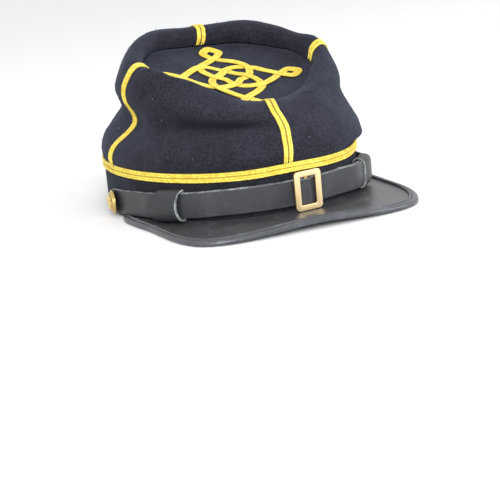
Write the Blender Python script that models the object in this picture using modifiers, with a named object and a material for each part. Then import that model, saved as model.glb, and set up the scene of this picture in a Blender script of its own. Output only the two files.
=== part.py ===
"""Kepi cap: soft wool crown on an upright band, leather peak, chin strap and yellow braid.

The sizes are millimetres, which MM turns into Blender's metres. The cap stands on the lower
edge of its band and peak: +Z is up, the peak points to -Y and the wearer's left is +X.
Angles run round the band from the middle of its front: 0 is the front, 90 the wearer's
left, -90 the wearer's right and 180 the back.
"""
import math
from collections import namedtuple

import bpy
import bmesh
from mathutils import Matrix, Vector

MM = 0.001
GAP = 0.3                      # between pieces that touch

# Band: an upright oval of wool on the lower edge of the cap
BAND_HALF_LENGTH = 102.8       # outer, front to back
BAND_HALF_WIDTH = 88.7         # outer, side to side
CLOTH_THICK = 2.0
CORNER_STEPS = 2               # of a rounded corner
BRAID_TOP = 36.5               # upper edge of the braid over the floor
BRAID_HEIGHT = 6.4
BRAID_PROUD = 1.25             # from the band to the crest of a cord
BRAID_GROOVE = 0.8             # and to the groove between the two
BRAID_EDGE = 0.65              # and to the shoulder of an outer edge
BAND_TOP = BRAID_TOP - 3.2     # seam of band and crown, behind the braid

# Soutache braid, which is two soft cords side by side
STRIPE_WIDTH = 7.0
STRIPE_LIFT = 0.45             # from the cloth to its back
STRIPE_PROUD = 1.0             # from its back to its crests, to its groove and to its edges
STRIPE_GROOVE = 0.6
STRIPE_EDGE = 0.4
STRIPE_FOOT = BRAID_TOP + 0.5
STRIPE_END = 1.9               # left between a stripe and the top

# Crown: sections from the hem up to the ridge, over it and down the inner wall.
# Each row gives where the section crosses the four stripes: how far forward and back, how
# far to the wearer's right and left, and the height of each over the seam.
CrownRow = namedtuple(
    "CrownRow", "name front front_up back back_up right right_up left left_up")
CROWN_ROWS = [
    CrownRow("hem", 102.8, 0.3, 102.8, 0.3, 88.7, 0.3, 88.7, 0.3),
    CrownRow("seam", 102.8, 3.4, 102.8, 3.4, 88.8, 3.4, 88.8, 3.4),
    CrownRow("swell", 104.6, 7.5, 105.0, 9.0, 89.5, 8.5, 92.5, 9.0),
    CrownRow("full", 103.8, 14.0, 105.0, 19.0, 87.0, 16.0, 93.5, 16.5),
    CrownRow("under_waist", 100.6, 20.5, 102.0, 31.0, 81.0, 23.0, 90.0, 24.0),
    CrownRow("waist", 97.2, 26.6, 97.0, 43.0, 75.5, 31.0, 85.5, 32.5),
    CrownRow("over_waist", 93.0, 32.4, 89.5, 54.5, 74.0, 39.5, 81.5, 41.0),
    CrownRow("upper", 88.5, 37.2, 80.5, 65.0, 76.5, 48.5, 80.5, 50.0),
    CrownRow("shoulder", 81.5, 40.8, 71.5, 74.0, 76.5, 57.5, 82.0, 58.0),
    CrownRow("brow", 76.0, 42.4, 61.0, 80.5, 73.0, 65.5, 80.5, 64.0),
    CrownRow("ridge", 71.5, 42.4, 52.0, 83.6, 67.0, 70.0, 76.5, 66.4),
    CrownRow("inner_brow", 68.0, 41.8, 45.5, 82.6, 61.5, 69.6, 71.5, 65.2),
    CrownRow("wall_top", 66.0, 40.8, 43.0, 79.0, 59.5, 67.2, 68.5, 62.0),
    CrownRow("wall", 65.8, 39.4, 43.5, 74.2, 59.5, 63.6, 67.5, 58.0),
    CrownRow("foot", 66.5, 38.2, 46.5, 69.8, 61.0, 60.2, 67.0, 54.5),
]
CROWN_COLUMNS = 48
FRONT_LEAN = 2.2               # of the front stripe to the wearer's right, and where it is most
FRONT_LEAN_ROW = 4.0
FRONT_LEAN_REACH = 2.5

# Soft folds of the side cloth: middle of each by angle and section, its reach and its depth
Fold = namedtuple("Fold", "name angle angle_reach row row_reach depth")
FOLDS = [
    Fold("right_front_hollow", -52.0, 26.0, 5.6, 1.5, 3.2),
    Fold("right_rear_hollow", -128.0, 24.0, 5.2, 1.6, 2.6),
    Fold("left_front_hollow", 48.0, 24.0, 6.4, 1.6, 2.4),
    Fold("left_rear_hollow", 132.0, 26.0, 5.0, 1.7, 4.0),
    Fold("right_front_fullness", -32.0, 20.0, 3.0, 1.2, -2.0),
    Fold("rear_fullness", 180.0, 40.0, 3.4, 1.5, -3.0),
    Fold("left_front_fullness", 50.0, 24.0, 1.7, 1.0, -3.2),
    Fold("right_rear_brow", -116.0, 20.0, 8.4, 1.5, 2.2),
    Fold("right_waist", -88.0, 16.0, 4.7, 1.5, 7.2),
    Fold("right_brow", -88.0, 11.0, 8.7, 1.1, 2.0),
    Fold("right_rear_flank", -113.0, 13.0, 6.9, 1.0, -2.2),
    Fold("left_brow", 66.0, 18.0, 6.9, 1.4, -5.2),
]

# Waves of the rim between the stripes: the middle and reach of each by angle, how far it
# raises the ridge and the foot of the inner wall, and how far it draws the rim inward
Wave = namedtuple("Wave", "name angle reach ridge_rise foot_rise inward")
WAVES = [
    Wave("right_front", -47.0, 26.0, 7.0, 2.0, 8.0),
    Wave("right_rear", -143.0, 22.0, 4.0, 3.0, 0.0),
    Wave("left_rear", 150.0, 20.0, 3.0, 1.5, 0.0),
    Wave("left_dip", 116.0, 9.0, -1.7, 1.0, 0.0),
    Wave("left_peak", 98.0, 10.0, 1.8, 0.0, 0.0),
    Wave("left_front", 40.0, 24.0, 0.0, 2.0, 4.0),
    Wave("left_roll", 63.0, 20.0, 0.5, 0.0, 5.0),
    Wave("right_roll", -74.0, 9.0, 3.3, 0.0, 0.0),
]
WAVE_FIRST_ROW = 5             # waves fade in from the waist
RIDGE_ROW = 10

# Top: the oval piece inside the ridge
TOP_SAG = 3.0                  # of its middle below its edge
TOP_SAG_POWER = 4              # flat in the middle and turned up near the edge
TOP_DIP = 4.0                  # further sag on the wearer's left, round its own centre
TOP_DIP_CENTRE = (40.0, -11.4)
TOP_DIP_REACH = 30.0
TOP_RINGS = (0.42, 0.7, 0.87, 1.0)

# Knot of single braid on the top, half a strand from the tip of a loop to the waist where
# it meets the next one: along the loop's axis, aside from it, its width and its level, +1
# where it passes over and -1 where it passes under
KnotRow = namedtuple("KnotRow", "name along aside width level")
KNOT_ROWS = [
    KnotRow("tip", 50.8, 0.0, 7.0, 0.0),
    KnotRow("loop_side", 45.6, 5.8, 7.0, 0.0),
    KnotRow("loop_foot", 40.6, 4.0, 6.0, -0.6),
    KnotRow("neck", 35.8, 0.0, 5.4, -1.0),
    KnotRow("flare", 28.6, -8.2, 5.4, 0.0),
    KnotRow("shoulder", 23.0, -13.8, 5.4, 0.6),
    KnotRow("outer_crossing", 17.3, -17.3, 5.4, 1.0),
    KnotRow("side", 9.0, -17.0, 5.4, 0.0),
    KnotRow("middle_crossing", 0.0, -12.6, 5.4, -1.0),
    KnotRow("waist", -5.4, -5.4, 5.4, 0.0),
]
KNOT_CENTRE = (2.8, -11.4)
KNOT_TURN = -4.5               # degrees
KNOT_THICK = 0.8               # at the middle of the strand, and at its edges
KNOT_EDGE = 0.4
KNOT_SEAT = 0.7                # from the top to the strand where it is lowest
KNOT_WAVE = 0.65               # half the rise from an under to an over crossing
KNOT_STEPS = 3                 # points of the strand for each row of the table

# Peak: a crescent of leather with a bound edge, a little wider on the wearer's left. Each
# row of its outline gives how far to the right, to the left and forward it reaches.
PeakRow = namedtuple("PeakRow", "name right left forward")
PEAK_OUTLINE = [
    PeakRow("end", 91.0, 91.6, 17.4),
    PeakRow("flare", 94.0, 95.2, 30.0),
    PeakRow("side_back", 93.2, 95.8, 46.0),
    PeakRow("side", 90.5, 95.6, 66.0),
    PeakRow("side_front", 89.0, 95.2, 88.0),
    PeakRow("corner_side", 87.6, 92.6, 106.0),
    PeakRow("corner", 83.8, 86.5, 122.5),
    PeakRow("corner_front", 75.5, 77.5, 134.8),
    PeakRow("front_side", 58.0, 60.0, 142.6),
    PeakRow("front", 28.0, 28.0, 146.0),
    PeakRow("middle", 0.0, 0.0, 146.4),
]
PEAK_THICK = 1.8
PEAK_END_ANGLE = 81.0
PEAK_STATIONS = 36
PEAK_SHARES = (0.0, 0.04, 0.12, 0.5, 1.0)
PEAK_FOOT = 1.7                # middle of the leather over the floor, at its corners
PEAK_SEAT_RISE = 1.5           # rise of the leather by the band, at the front
PEAK_ROLL = 0.8                # where the leather turns up at its seam, and how far that reaches
PEAK_ROLL_REACH = 1.6
PEAK_ARCH = 4.2                # rise of the bound edge at the front, and half its breadth
PEAK_ARCH_REACH = 48.0
BINDING_HALF_HEIGHT = 1.7
BINDING_BEVEL = 0.8
BINDING_WIDTH = 7.0
BINDING_CLEAR = 2.0            # left between the binding and the seat at the ends of the peak
BINDING_LIP = 0.6              # share of the binding's width that the leather reaches into

# Chin strap, which drops a little from the buckle to the side buttons
STRAP_HEIGHT = 17.5
STRAP_THICK = 1.6
STRAP_BEVEL = 0.4
STRAP_TIP = 1.5                # half the height at the very end
STRAP_MIDDLE = 17.4            # over the floor, at the front
STRAP_DROP = 6.8
BUTTON_ANGLE = 88.0
STRAP_END_ANGLE = 94.5
OVER_END_ANGLE = 56.0
OVER_NARROWER = 0.15           # the outer strap, at each edge
STRAP_STEP = 5.0               # degrees between a strap's stations
STRAP_TIP_TURNS = (25.0, 50.0, 75.0, 90.0)
UNDER_OFFSET = GAP + STRAP_THICK / 2
OVER_OFFSET = UNDER_OFFSET + STRAP_THICK + GAP

# Keepers: leather sleeves round the straps, by their middle's angle and how far they hold
# the straps off the band
Keeper = namedtuple("Keeper", "name angle lift")
KEEPERS = [
    Keeper("keeper_right", -50.6, 2.2),
    Keeper("keeper_left", 49.0, 4.4),
]
KEEPER_LENGTH = 19.0
KEEPER_INNER_BOW = 4.8         # how far the middle of each end stands toward the button
KEEPER_OUTER_BOW = 7.8
KEEPER_THICK = 1.6
KEEPER_CORNER = 2.6
KEEPER_SPANS = 5
KEEPER_HALF_HEIGHT = 11.0
KEEPER_SPREAD = 7.0            # degrees over which the straps rise to pass through a sleeve

# Buckle: a flat frame with a bar behind it, which lifts the outer strap
BUCKLE_ANGLE = 6.9
BUCKLE_WIDTH = 21.2
BUCKLE_HEIGHT = 27.2
BUCKLE_RAIL = 4.5
BUCKLE_THICK = 1.8
BUCKLE_CORNER = 3.0
BUCKLE_INNER_CORNER = 0.8
BUCKLE_BEVEL = 0.35
BUCKLE_OFF_STRAP = 0.7         # from the outer strap to the frame, past the gap
BUCKLE_FOOT_INSET = 1.2        # of the bar's feet from the frame's outer edge
BUCKLE_FOOT_SHOWS = 0.8        # of the upper foot, below the rail
BUCKLE_BAR = 1.6               # thickness
BUCKLE_BAR_WIDTH = 2.8
BUCKLE_MIDDLE = 18.1           # over the floor
STRAP_HUMP = 2.4
HUMP_FLAT = 1.7                # along the strap each way, where it lies on the bar
HUMP_REACH = 3.0               # and past that, where it falls
HUMP_STATIONS = (-8.5, -5.5, -3.6, -1.7, 1.7, 3.6, 5.5, 8.5)

# Side buttons
BUTTON_RADIUS = 8.8
BUTTON_DOME = 4.6
BUTTON_RIM = 1.3
SHANK_RADIUS = 2.0
SHANK_HOLE = 2.4

# The cap's place: its box is centred on the origin
REAR_REACH = 109.5             # of the crown, behind the middle of the band
CAP_SHIFT = (PEAK_OUTLINE[-1].forward - REAR_REACH) / 2


# ---------------------------------------------------------------- scene and materials
def clear_scene():
    for old in list(bpy.data.objects):
        bpy.data.objects.remove(old, do_unlink=True)


def new_collection(name):
    group = bpy.data.collections.new(name)
    bpy.context.scene.collection.children.link(group)
    return group


def new_material(name, colour, roughness, metallic=0.0):
    material = bpy.data.materials.new(name)
    material.use_nodes = True
    shader = material.node_tree.nodes["Principled BSDF"]
    shader.inputs["Base Color"].default_value = (*colour, 1.0)
    shader.inputs["Roughness"].default_value = roughness
    shader.inputs["Metallic"].default_value = metallic
    material.diffuse_color = (*colour, 1.0)
    return material


class Cap:
    """The collections, the empty that carries every piece, and the materials."""

    def __init__(self):
        self.parts = new_collection("kepi_cap")
        self.cutters = new_collection("cutters")
        self.origin = bpy.data.objects.new("cap_origin", None)
        self.origin.location = (0.0, CAP_SHIFT * MM, 0.0)
        self.parts.objects.link(self.origin)
        self.wool = new_material("navy_wool", (0.013, 0.014, 0.028), 0.95)
        self.braid = new_material("yellow_braid", (0.85, 0.60, 0.04), 0.6)
        self.leather = new_material("black_leather", (0.02, 0.021, 0.024), 0.38)
        self.brass = new_material("brass", (0.85, 0.62, 0.30), 0.3, 1.0)

    def add(self, name, mesh, material):
        """Put a mesh made in millimetres in the scene as a piece of the cap."""
        mesh.transform(Matrix.Scale(MM, 4))
        mesh.materials.append(material)
        piece = bpy.data.objects.new(name, mesh)
        piece.parent = self.origin
        self.parts.objects.link(piece)
        return piece


def add_wall(piece, thickness):
    """Give an open surface its thickness, behind the side that shows."""
    solidify = piece.modifiers.new("wall", "SOLIDIFY")
    solidify.thickness = thickness * MM
    solidify.offset = -1.0
    solidify.use_even_offset = True


def shade_round(mesh, angle=40.0):
    mesh.shade_smooth()
    mesh.set_sharp_from_angle(angle=math.radians(angle))


# ---------------------------------------------------------------- lofts
def loft(name, rings, closed_path=False, closed_ring=True, caps=True):
    """A surface through rings of points. Closed rings with caps make a solid."""
    bm = bmesh.new()
    rows = [[bm.verts.new(point) for point in ring] for ring in rings]
    count = len(rows[0])
    spans = len(rows) if closed_path else len(rows) - 1
    sides = count if closed_ring else count - 1
    for i in range(spans):
        lower, upper = rows[i], rows[(i + 1) % len(rows)]
        for j in range(sides):
            k = (j + 1) % count
            bm.faces.new((lower[j], lower[k], upper[k], upper[j]))
    if closed_ring and caps and not closed_path:
        bm.faces.new(rows[0])
        bm.faces.new(list(reversed(rows[-1])))
    if closed_ring and (caps or closed_path):
        bmesh.ops.recalc_face_normals(bm, faces=bm.faces)
    mesh = bpy.data.meshes.new(name)
    bm.to_mesh(mesh)
    bm.free()
    return mesh


def smooth_path(points, steps, closed=False):
    """Catmull-Rom curve through the points, with a number of steps for each span."""
    count = len(points)
    spans = count if closed else count - 1
    path = []
    for i in range(spans):
        if closed:
            a, b, c, d = (points[(i + k) % count] for k in (-1, 0, 1, 2))
        else:
            a, b, c, d = (points[min(max(i + k, 0), count - 1)] for k in (-1, 0, 1, 2))
        for step in range(steps):
            t = step / steps
            path.append((b * 2 + (c - a) * t + (a * 2 - b * 5 + c * 4 - d) * t ** 2
                         + (b * 3 - a - c * 3 + d) * t ** 3) / 2)
    if not closed:
        path.append(points[-1].copy())
    return path


def bell(distance, reach):
    return math.exp(-(distance / reach) ** 2)


def angle_between(a, b):
    return (a - b + 180.0) % 360.0 - 180.0


# ---------------------------------------------------------------- band
def band_normal(angle):
    turn = math.radians(angle)
    return Vector((math.sin(turn) / BAND_HALF_WIDTH, -math.cos(turn) / BAND_HALF_LENGTH, 0)).normalized()


def band_point(angle, height, offset=0.0):
    """A point at an angle round the band, a height over the floor and a distance off it."""
    turn = math.radians(angle)
    base = Vector((BAND_HALF_WIDTH * math.sin(turn), -BAND_HALF_LENGTH * math.cos(turn), height))
    return base + band_normal(angle) * offset


def round_band(count):
    return [360.0 * i / count - 180.0 for i in range(count)]


def make_band(cap):
    rings = [[band_point(angle, height) for angle in round_band(CROWN_COLUMNS)]
             for height in (0.0, BAND_TOP / 2, BAND_TOP)]
    mesh = loft("band", rings, caps=False)
    shade_round(mesh)
    add_wall(cap.add("band", mesh, cap.wool), CLOTH_THICK)


def make_band_braid(cap):
    """Two cords side by side, as one ring round the seam."""
    half = BRAID_HEIGHT / 2
    middle = BRAID_TOP - half
    profile = [(-half, GAP), (half, GAP), (half, BRAID_EDGE), (half / 2, GAP + BRAID_PROUD),
               (0.0, BRAID_GROOVE), (-half / 2, GAP + BRAID_PROUD), (-half, BRAID_EDGE)]
    rings = [[band_point(angle, middle + up, out) for up, out in profile]
             for angle in round_band(CROWN_COLUMNS)]
    mesh = loft("band_braid", rings, closed_path=True)
    shade_round(mesh)
    cap.add("band_braid", mesh, cap.braid)


# ---------------------------------------------------------------- crown
def four_way(front, left, back, right, turn):
    """A value that passes through four given ones at the four stripes."""
    mean = (front + back + left + right) / 4
    twice = (front + back - left - right) / 4
    return (mean + (front - back) / 2 * math.cos(turn) + (left - right) / 2 * math.sin(turn)
            + twice * math.cos(2 * turn))


def crown_point(row, angle):
    """A point of the crown's outer face, at a row of the table and an angle round it."""
    section = CROWN_ROWS[row]
    turn = math.radians(angle)
    half_length = (section.front + section.back) / 2
    half_width = (section.right + section.left) / 2
    lean = FRONT_LEAN * bell(row - FRONT_LEAN_ROW, FRONT_LEAN_REACH) * max(math.cos(turn), 0.0) ** 2
    x = (section.left - section.right) / 2 - (lean if row > 1 else 0.0)
    y = (section.back - section.front) / 2
    up = four_way(section.front_up, section.left_up, section.back_up, section.right_up, turn)
    inward = Vector((-math.sin(turn), math.cos(turn), 0.0))
    point = Vector((x + half_width * math.sin(turn), y - half_length * math.cos(turn), BAND_TOP + up))
    last = len(CROWN_ROWS) - 1
    risen = min(max((row - WAVE_FIRST_ROW) / (RIDGE_ROW - WAVE_FIRST_ROW), 0.0), 1.0)
    sunk = max((row - RIDGE_ROW) / (last - RIDGE_ROW), 0.0)
    for wave in WAVES:
        here = bell(angle_between(angle, wave.angle), wave.reach)
        point.z += here * risen * (wave.ridge_rise * (1 - sunk) + wave.foot_rise * sunk)
        point += inward * (here * risen * wave.inward)
    if row < 2 or row == last:
        return point
    for fold in FOLDS:
        depth = (fold.depth * bell(angle_between(angle, fold.angle), fold.angle_reach)
                 * bell(row - fold.row, fold.row_reach))
        point += inward * depth
    return point


def crown_normal(row, angle):
    """Outward normal of the crown's face, from its neighbours."""
    last = len(CROWN_ROWS) - 1
    up = crown_point(min(row + 1, last), angle) - crown_point(max(row - 1, 0), angle)
    along = crown_point(row, angle + 1.0) - crown_point(row, angle - 1.0)
    return along.cross(up).normalized()


def make_crown(cap):
    rings = [[crown_point(row, angle) for angle in round_band(CROWN_COLUMNS)]
             for row in range(len(CROWN_ROWS))]
    mesh = loft("crown", rings, caps=False)
    shade_round(mesh, 70.0)
    add_wall(cap.add("crown", mesh, cap.wool), CLOTH_THICK)


def top_point(share, angle):
    """A point of the top's upper face, from its middle (0) to its edge (1)."""
    last = len(CROWN_ROWS) - 1
    edge = crown_point(last, angle)
    opposite = crown_point(last, angle + 180.0)
    front, left, back, right = foot_extremes()
    middle = (front + left + back + right) / 4
    inset = (edge - opposite).normalized() * GAP
    point = middle.lerp(edge - inset, share)
    away = math.hypot(point.x - TOP_DIP_CENTRE[0], point.y - TOP_DIP_CENTRE[1])
    sag = TOP_SAG + TOP_DIP * bell(away, TOP_DIP_REACH)
    return point - Vector((0.0, 0.0, sag * (1 - share ** TOP_SAG_POWER)))


def make_top(cap):
    bm = bmesh.new()
    angles = round_band(CROWN_COLUMNS)
    centre = bm.verts.new(top_point(0.0, 0.0))
    rings = [[bm.verts.new(top_point(share, angle)) for angle in angles] for share in TOP_RINGS]
    count = len(angles)
    for j in range(count):
        k = (j + 1) % count
        bm.faces.new((centre, rings[0][j], rings[0][k]))
        for inner, outer in zip(rings, rings[1:]):
            bm.faces.new((inner[j], outer[j], outer[k], inner[k]))
    mesh = bpy.data.meshes.new("top_disc")
    bm.to_mesh(mesh)
    bm.free()
    shade_round(mesh)
    add_wall(cap.add("top_disc", mesh, cap.wool), CLOTH_THICK)


# ---------------------------------------------------------------- stripes
def stripe_station(row, angle):
    """Cross-section of a double cord on the crown: across it, and out from the cloth."""
    radius = (crown_point(row, angle + 90.0) - crown_point(row, angle - 90.0)).length / 2
    spread = math.degrees(STRIPE_WIDTH / 2 / radius)
    profile = [(-1.0, 0.0), (-1.0, STRIPE_EDGE), (-0.5, STRIPE_PROUD), (0.0, STRIPE_GROOVE),
               (0.5, STRIPE_PROUD), (1.0, STRIPE_EDGE), (1.0, 0.0), (0.0, 0.0)]
    outward = crown_normal(row, angle)
    return [crown_point(row, angle + across * spread) + outward * (STRIPE_LIFT + out)
            for across, out in profile]


def make_stripe(cap, name, angle):
    rings = [stripe_station(row, angle) for row in range(1, len(CROWN_ROWS))]
    for point in rings[0]:
        point.z = STRIPE_FOOT
    back_off = (rings[-2][0] - rings[-1][0]).normalized() * STRIPE_END
    rings[-1] = [point + back_off for point in rings[-1]]
    mesh = loft(name, rings)
    shade_round(mesh)
    cap.add(name, mesh, cap.braid)


# ---------------------------------------------------------------- knot
def knot_strand():
    """The strand's stations as points along, aside and level, with the width apart."""
    stations = []
    for loop in range(4):
        turn = math.radians(90.0 * loop + KNOT_TURN)
        axis = Vector((math.cos(turn), math.sin(turn)))
        aside = Vector((-math.sin(turn), math.cos(turn)))
        incoming = [(row, -1.0) for row in reversed(KNOT_ROWS[1:])]
        outgoing = [(row, 1.0) for row in KNOT_ROWS[:-1]]
        for row, side in incoming + outgoing:
            place = axis * row.along + aside * (row.aside * side)
            stations.append(Vector((place.x, place.y, row.level * side, row.width)))
    return smooth_path(stations, KNOT_STEPS, closed=True)


def foot_extremes():
    """The foot of the inner wall at the front, left, back and right stripes."""
    last = len(CROWN_ROWS) - 1
    return [crown_point(last, angle) for angle in (0.0, 90.0, 180.0, -90.0)]


def top_height(x, y):
    """Height of the top's upper face at a place on it."""
    front, left, back, right = foot_extremes()
    across = (x - (left.x + right.x) / 2) * 2 / (left.x - right.x)
    forward = ((front.y + back.y) / 2 - y) * 2 / (back.y - front.y)
    angle = math.degrees(math.atan2(across, forward))
    return top_point(math.hypot(across, forward), angle).z


def knot_point(along, aside, lift):
    """A point over the top, from a place in the knot's own flat chart."""
    front, _, back, _ = foot_extremes()
    slope = math.atan2(back.z - front.z, back.y - front.y)
    x = KNOT_CENTRE[0] + along
    y = KNOT_CENTRE[1] + aside * math.cos(slope)
    return Vector((x, y - math.sin(slope) * lift, top_height(x, y) + math.cos(slope) * lift))


def make_knot(cap):
    strand = knot_strand()
    count = len(strand)
    rings = []
    for i, station in enumerate(strand):
        before, after = strand[i - 1], strand[(i + 1) % count]
        tangent = Vector((after.x - before.x, after.y - before.y)).normalized()
        across = Vector((-tangent.y, tangent.x)) * (station.w / 2)
        wave = math.sin(station.z * math.pi / 2) * KNOT_WAVE
        low = KNOT_SEAT + KNOT_WAVE + wave
        profile = [(-1, 0.0), (1, 0.0), (1, KNOT_EDGE), (0, KNOT_THICK), (-1, KNOT_EDGE)]
        rings.append([knot_point(station.x + across.x * side, station.y + across.y * side, low + up)
                      for side, up in profile])
    mesh = loft("top_knot", rings, closed_path=True)
    shade_round(mesh)
    cap.add("top_knot", mesh, cap.braid)


# ---------------------------------------------------------------- peak
def peak_outline():
    """Outer edge of the peak, from the wearer's right round the front to the left."""
    right = [Vector((-row.right, -row.forward, 0.0)) for row in PEAK_OUTLINE]
    left = [Vector((row.left, -row.forward, 0.0)) for row in reversed(PEAK_OUTLINE[:-1])]
    return resample(smooth_path(right + left, 6), PEAK_STATIONS + 1)


def resample(path, count):
    """Points at equal distances along a path."""
    lengths = [0.0]
    for a, b in zip(path, path[1:]):
        lengths.append(lengths[-1] + (b - a).length)
    result = []
    k = 0
    for i in range(count):
        target = lengths[-1] * i / (count - 1)
        while k < len(path) - 2 and lengths[k + 1] < target:
            k += 1
        span = lengths[k + 1] - lengths[k]
        result.append(path[k].lerp(path[k + 1], min((target - lengths[k]) / span, 1.0)))
    return result


def peak_height(point, seat, share):
    """Middle of the leather over the floor, from the seat (0) to the bound edge (1)."""
    forward = max(-seat.y / BAND_HALF_LENGTH, 0.0)
    front = forward * (1 - (seat.x / BAND_HALF_WIDTH) ** 2)
    roll = PEAK_ROLL * forward * bell((point - seat).length, PEAK_ROLL_REACH)
    arch = PEAK_ARCH * bell(point.x, PEAK_ARCH_REACH) * share ** 2 * (3 - 2 * share)
    return PEAK_FOOT + front * PEAK_SEAT_RISE * (1 - share) + roll + arch


def peak_stations():
    """Pairs of an outer point of the peak and its seat on the band."""
    outline = peak_outline()
    return [(outer, band_point(PEAK_END_ANGLE * (2 * i / PEAK_STATIONS - 1), 0.0, GAP))
            for i, outer in enumerate(outline)]


def make_peak(cap):
    rings = []
    for outer, seat in peak_stations():
        reach = (outer - seat).normalized()
        edge = outer - reach * binding_width(outer, seat) * (1 - BINDING_LIP)
        ring = []
        for share, side in [(share, 0.5) for share in PEAK_SHARES] + [
                (share, -0.5) for share in reversed(PEAK_SHARES)]:
            point = seat.lerp(edge, share)
            height = peak_height(point, seat, share)
            ring.append(Vector((point.x, point.y, height + PEAK_THICK * side)))
        rings.append(ring)
    mesh = loft("peak", rings)
    shade_round(mesh)
    cap.add("peak", mesh, cap.leather)


def binding_width(outer, seat):
    """Width of the binding, which narrows where the ends of the peak meet the band."""
    return min(BINDING_WIDTH, (outer - seat).length - BINDING_CLEAR)


def make_binding(cap):
    """Folded leather round the edge of the peak, as a channel that the edge sits in."""
    half = BINDING_HALF_HEIGHT
    inner = PEAK_THICK / 2 + GAP
    rings = []
    for outer, seat in peak_stations():
        reach = (outer - seat).normalized()
        width = binding_width(outer, seat)
        floor = width * (1 - BINDING_LIP) - GAP
        bevel = BINDING_BEVEL
        profile = [(0.0, bevel), (bevel, half), (width - bevel, half), (width, inner), (floor, inner),
                   (floor, -inner), (width, -inner), (width - bevel, -half), (bevel, -half), (0.0, -bevel)]
        ring = []
        for inward, up in profile:
            point = outer - reach * inward
            point.z = peak_height(outer, seat, 1.0) + up
            ring.append(point)
        rings.append(ring)
    mesh = loft("peak_binding", rings)
    shade_round(mesh)
    cap.add("peak_binding", mesh, cap.leather)


# ---------------------------------------------------------------- chin strap
def strap_middle(angle):
    return STRAP_MIDDLE - STRAP_DROP * (angle / BUTTON_ANGLE) ** 2


def arc_degrees(angle, length):
    """Degrees round the band that a length along it takes at an angle."""
    turn = math.radians(angle)
    per_radian = math.hypot(BAND_HALF_WIDTH * math.cos(turn), BAND_HALF_LENGTH * math.sin(turn))
    return math.degrees(length / per_radian)


def keeper_lift(angle):
    """How far the straps stand off the band, to pass through the sleeves."""
    lift = 0.0
    for keeper in KEEPERS:
        inside = arc_degrees(keeper.angle, KEEPER_LENGTH / 2 + KEEPER_OUTER_BOW)
        beyond = abs(angle - keeper.angle) - inside
        lift += keeper.lift * bell(max(beyond, 0.0), KEEPER_SPREAD)
    return lift


def strap_ring(angle, offset, half_height):
    """Rectangle across the strap, bevelled at its outer edges."""
    middle = strap_middle(angle)
    half = STRAP_THICK / 2
    lift = offset + keeper_lift(angle)
    inner = half_height - STRAP_BEVEL
    profile = [(-half_height, -half), (half_height, -half), (half_height, half - STRAP_BEVEL),
               (inner, half), (-inner, half), (-half_height, half - STRAP_BEVEL)]
    return [band_point(angle, middle + up, lift + out) for up, out in profile]


def end_half_height(angle, end_angle):
    """Half the strap's height, which its round end takes down over its last stretch."""
    half = STRAP_HEIGHT / 2
    left = (end_angle - abs(angle)) / arc_degrees(end_angle, 1.0)
    if left >= half:
        return half
    return max(math.sqrt(max(half ** 2 - (half - left) ** 2, 0.0)), STRAP_TIP)


def strap_angles(end_angle, step):
    """Stations of a strap, closer together at its round ends."""
    tip = arc_degrees(end_angle, STRAP_HEIGHT / 2)
    inner = end_angle - tip
    count = round(2 * inner / step)
    middle = [inner * (2 * i / count - 1) for i in range(count + 1)]
    ends = [inner + tip * math.sin(math.radians(turn)) for turn in STRAP_TIP_TURNS]
    return [-angle for angle in reversed(ends)] + middle + ends


def make_strap_under(cap):
    angles = strap_angles(STRAP_END_ANGLE, STRAP_STEP)
    rings = [strap_ring(a, UNDER_OFFSET, end_half_height(a, STRAP_END_ANGLE)) for a in angles]
    mesh = loft("strap_under", rings)
    shade_round(mesh)
    strap = cap.add("strap_under", mesh, cap.leather)
    for side in (-1, 1):
        cut_shank_hole(cap, strap, side * BUTTON_ANGLE)


def hump(angle):
    """How far the bar behind the buckle lifts the outer strap."""
    along = abs(angle - BUCKLE_ANGLE) / arc_degrees(BUCKLE_ANGLE, 1.0)
    return STRAP_HUMP * bell(max(along - HUMP_FLAT, 0.0), HUMP_REACH)


def make_strap_over(cap):
    count = round(2 * OVER_END_ANGLE / STRAP_STEP)
    even = [OVER_END_ANGLE * (2 * i / count - 1) for i in range(count + 1)]
    near = [BUCKLE_ANGLE + arc_degrees(BUCKLE_ANGLE, along) for along in HUMP_STATIONS]
    clear = STRAP_STEP / 3
    angles = sorted([a for a in even if not near[0] - clear < a < near[-1] + clear] + near)
    half = STRAP_HEIGHT / 2 - OVER_NARROWER
    rings = [strap_ring(a, OVER_OFFSET + hump(a), half) for a in angles]
    mesh = loft("strap_over", rings)
    shade_round(mesh)
    cap.add("strap_over", mesh, cap.leather)


def make_keeper(cap, keeper):
    """A leather sleeve round the straps, whose ends bow toward the button."""
    side = math.copysign(1.0, keeper.angle)
    depth = OVER_OFFSET + keeper.lift + STRAP_THICK / 2 + KEEPER_THICK
    profile = rounded_rectangle(2 * KEEPER_HALF_HEIGHT, depth, KEEPER_CORNER)
    rings = []
    for step in range(KEEPER_SPANS + 1):
        share = step / KEEPER_SPANS
        bow = KEEPER_INNER_BOW * (1 - share) + KEEPER_OUTER_BOW * share
        ring = []
        for up, out in profile:
            along = KEEPER_LENGTH * (share - 0.5) + bow * (1 - (up / KEEPER_HALF_HEIGHT) ** 2)
            angle = keeper.angle + side * arc_degrees(keeper.angle, along)
            ring.append(band_point(angle, strap_middle(angle) + up, GAP + depth / 2 + out))
        rings.append(ring)
    if side < 0:
        rings.reverse()
    mesh = loft(keeper.name, rings, caps=False)
    shade_round(mesh)
    add_wall(cap.add(keeper.name, mesh, cap.leather), KEEPER_THICK)


# ---------------------------------------------------------------- buckle
def on_band(angle, height, offset):
    """Frame at the band: x along it to the wearer's left, y up and z outward."""
    out = band_normal(angle)
    up = Vector((0.0, 0.0, 1.0))
    along = up.cross(out)
    turn = Matrix((along, up, out)).transposed().to_4x4()
    return Matrix.Translation(band_point(angle, height, offset)) @ turn


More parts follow.
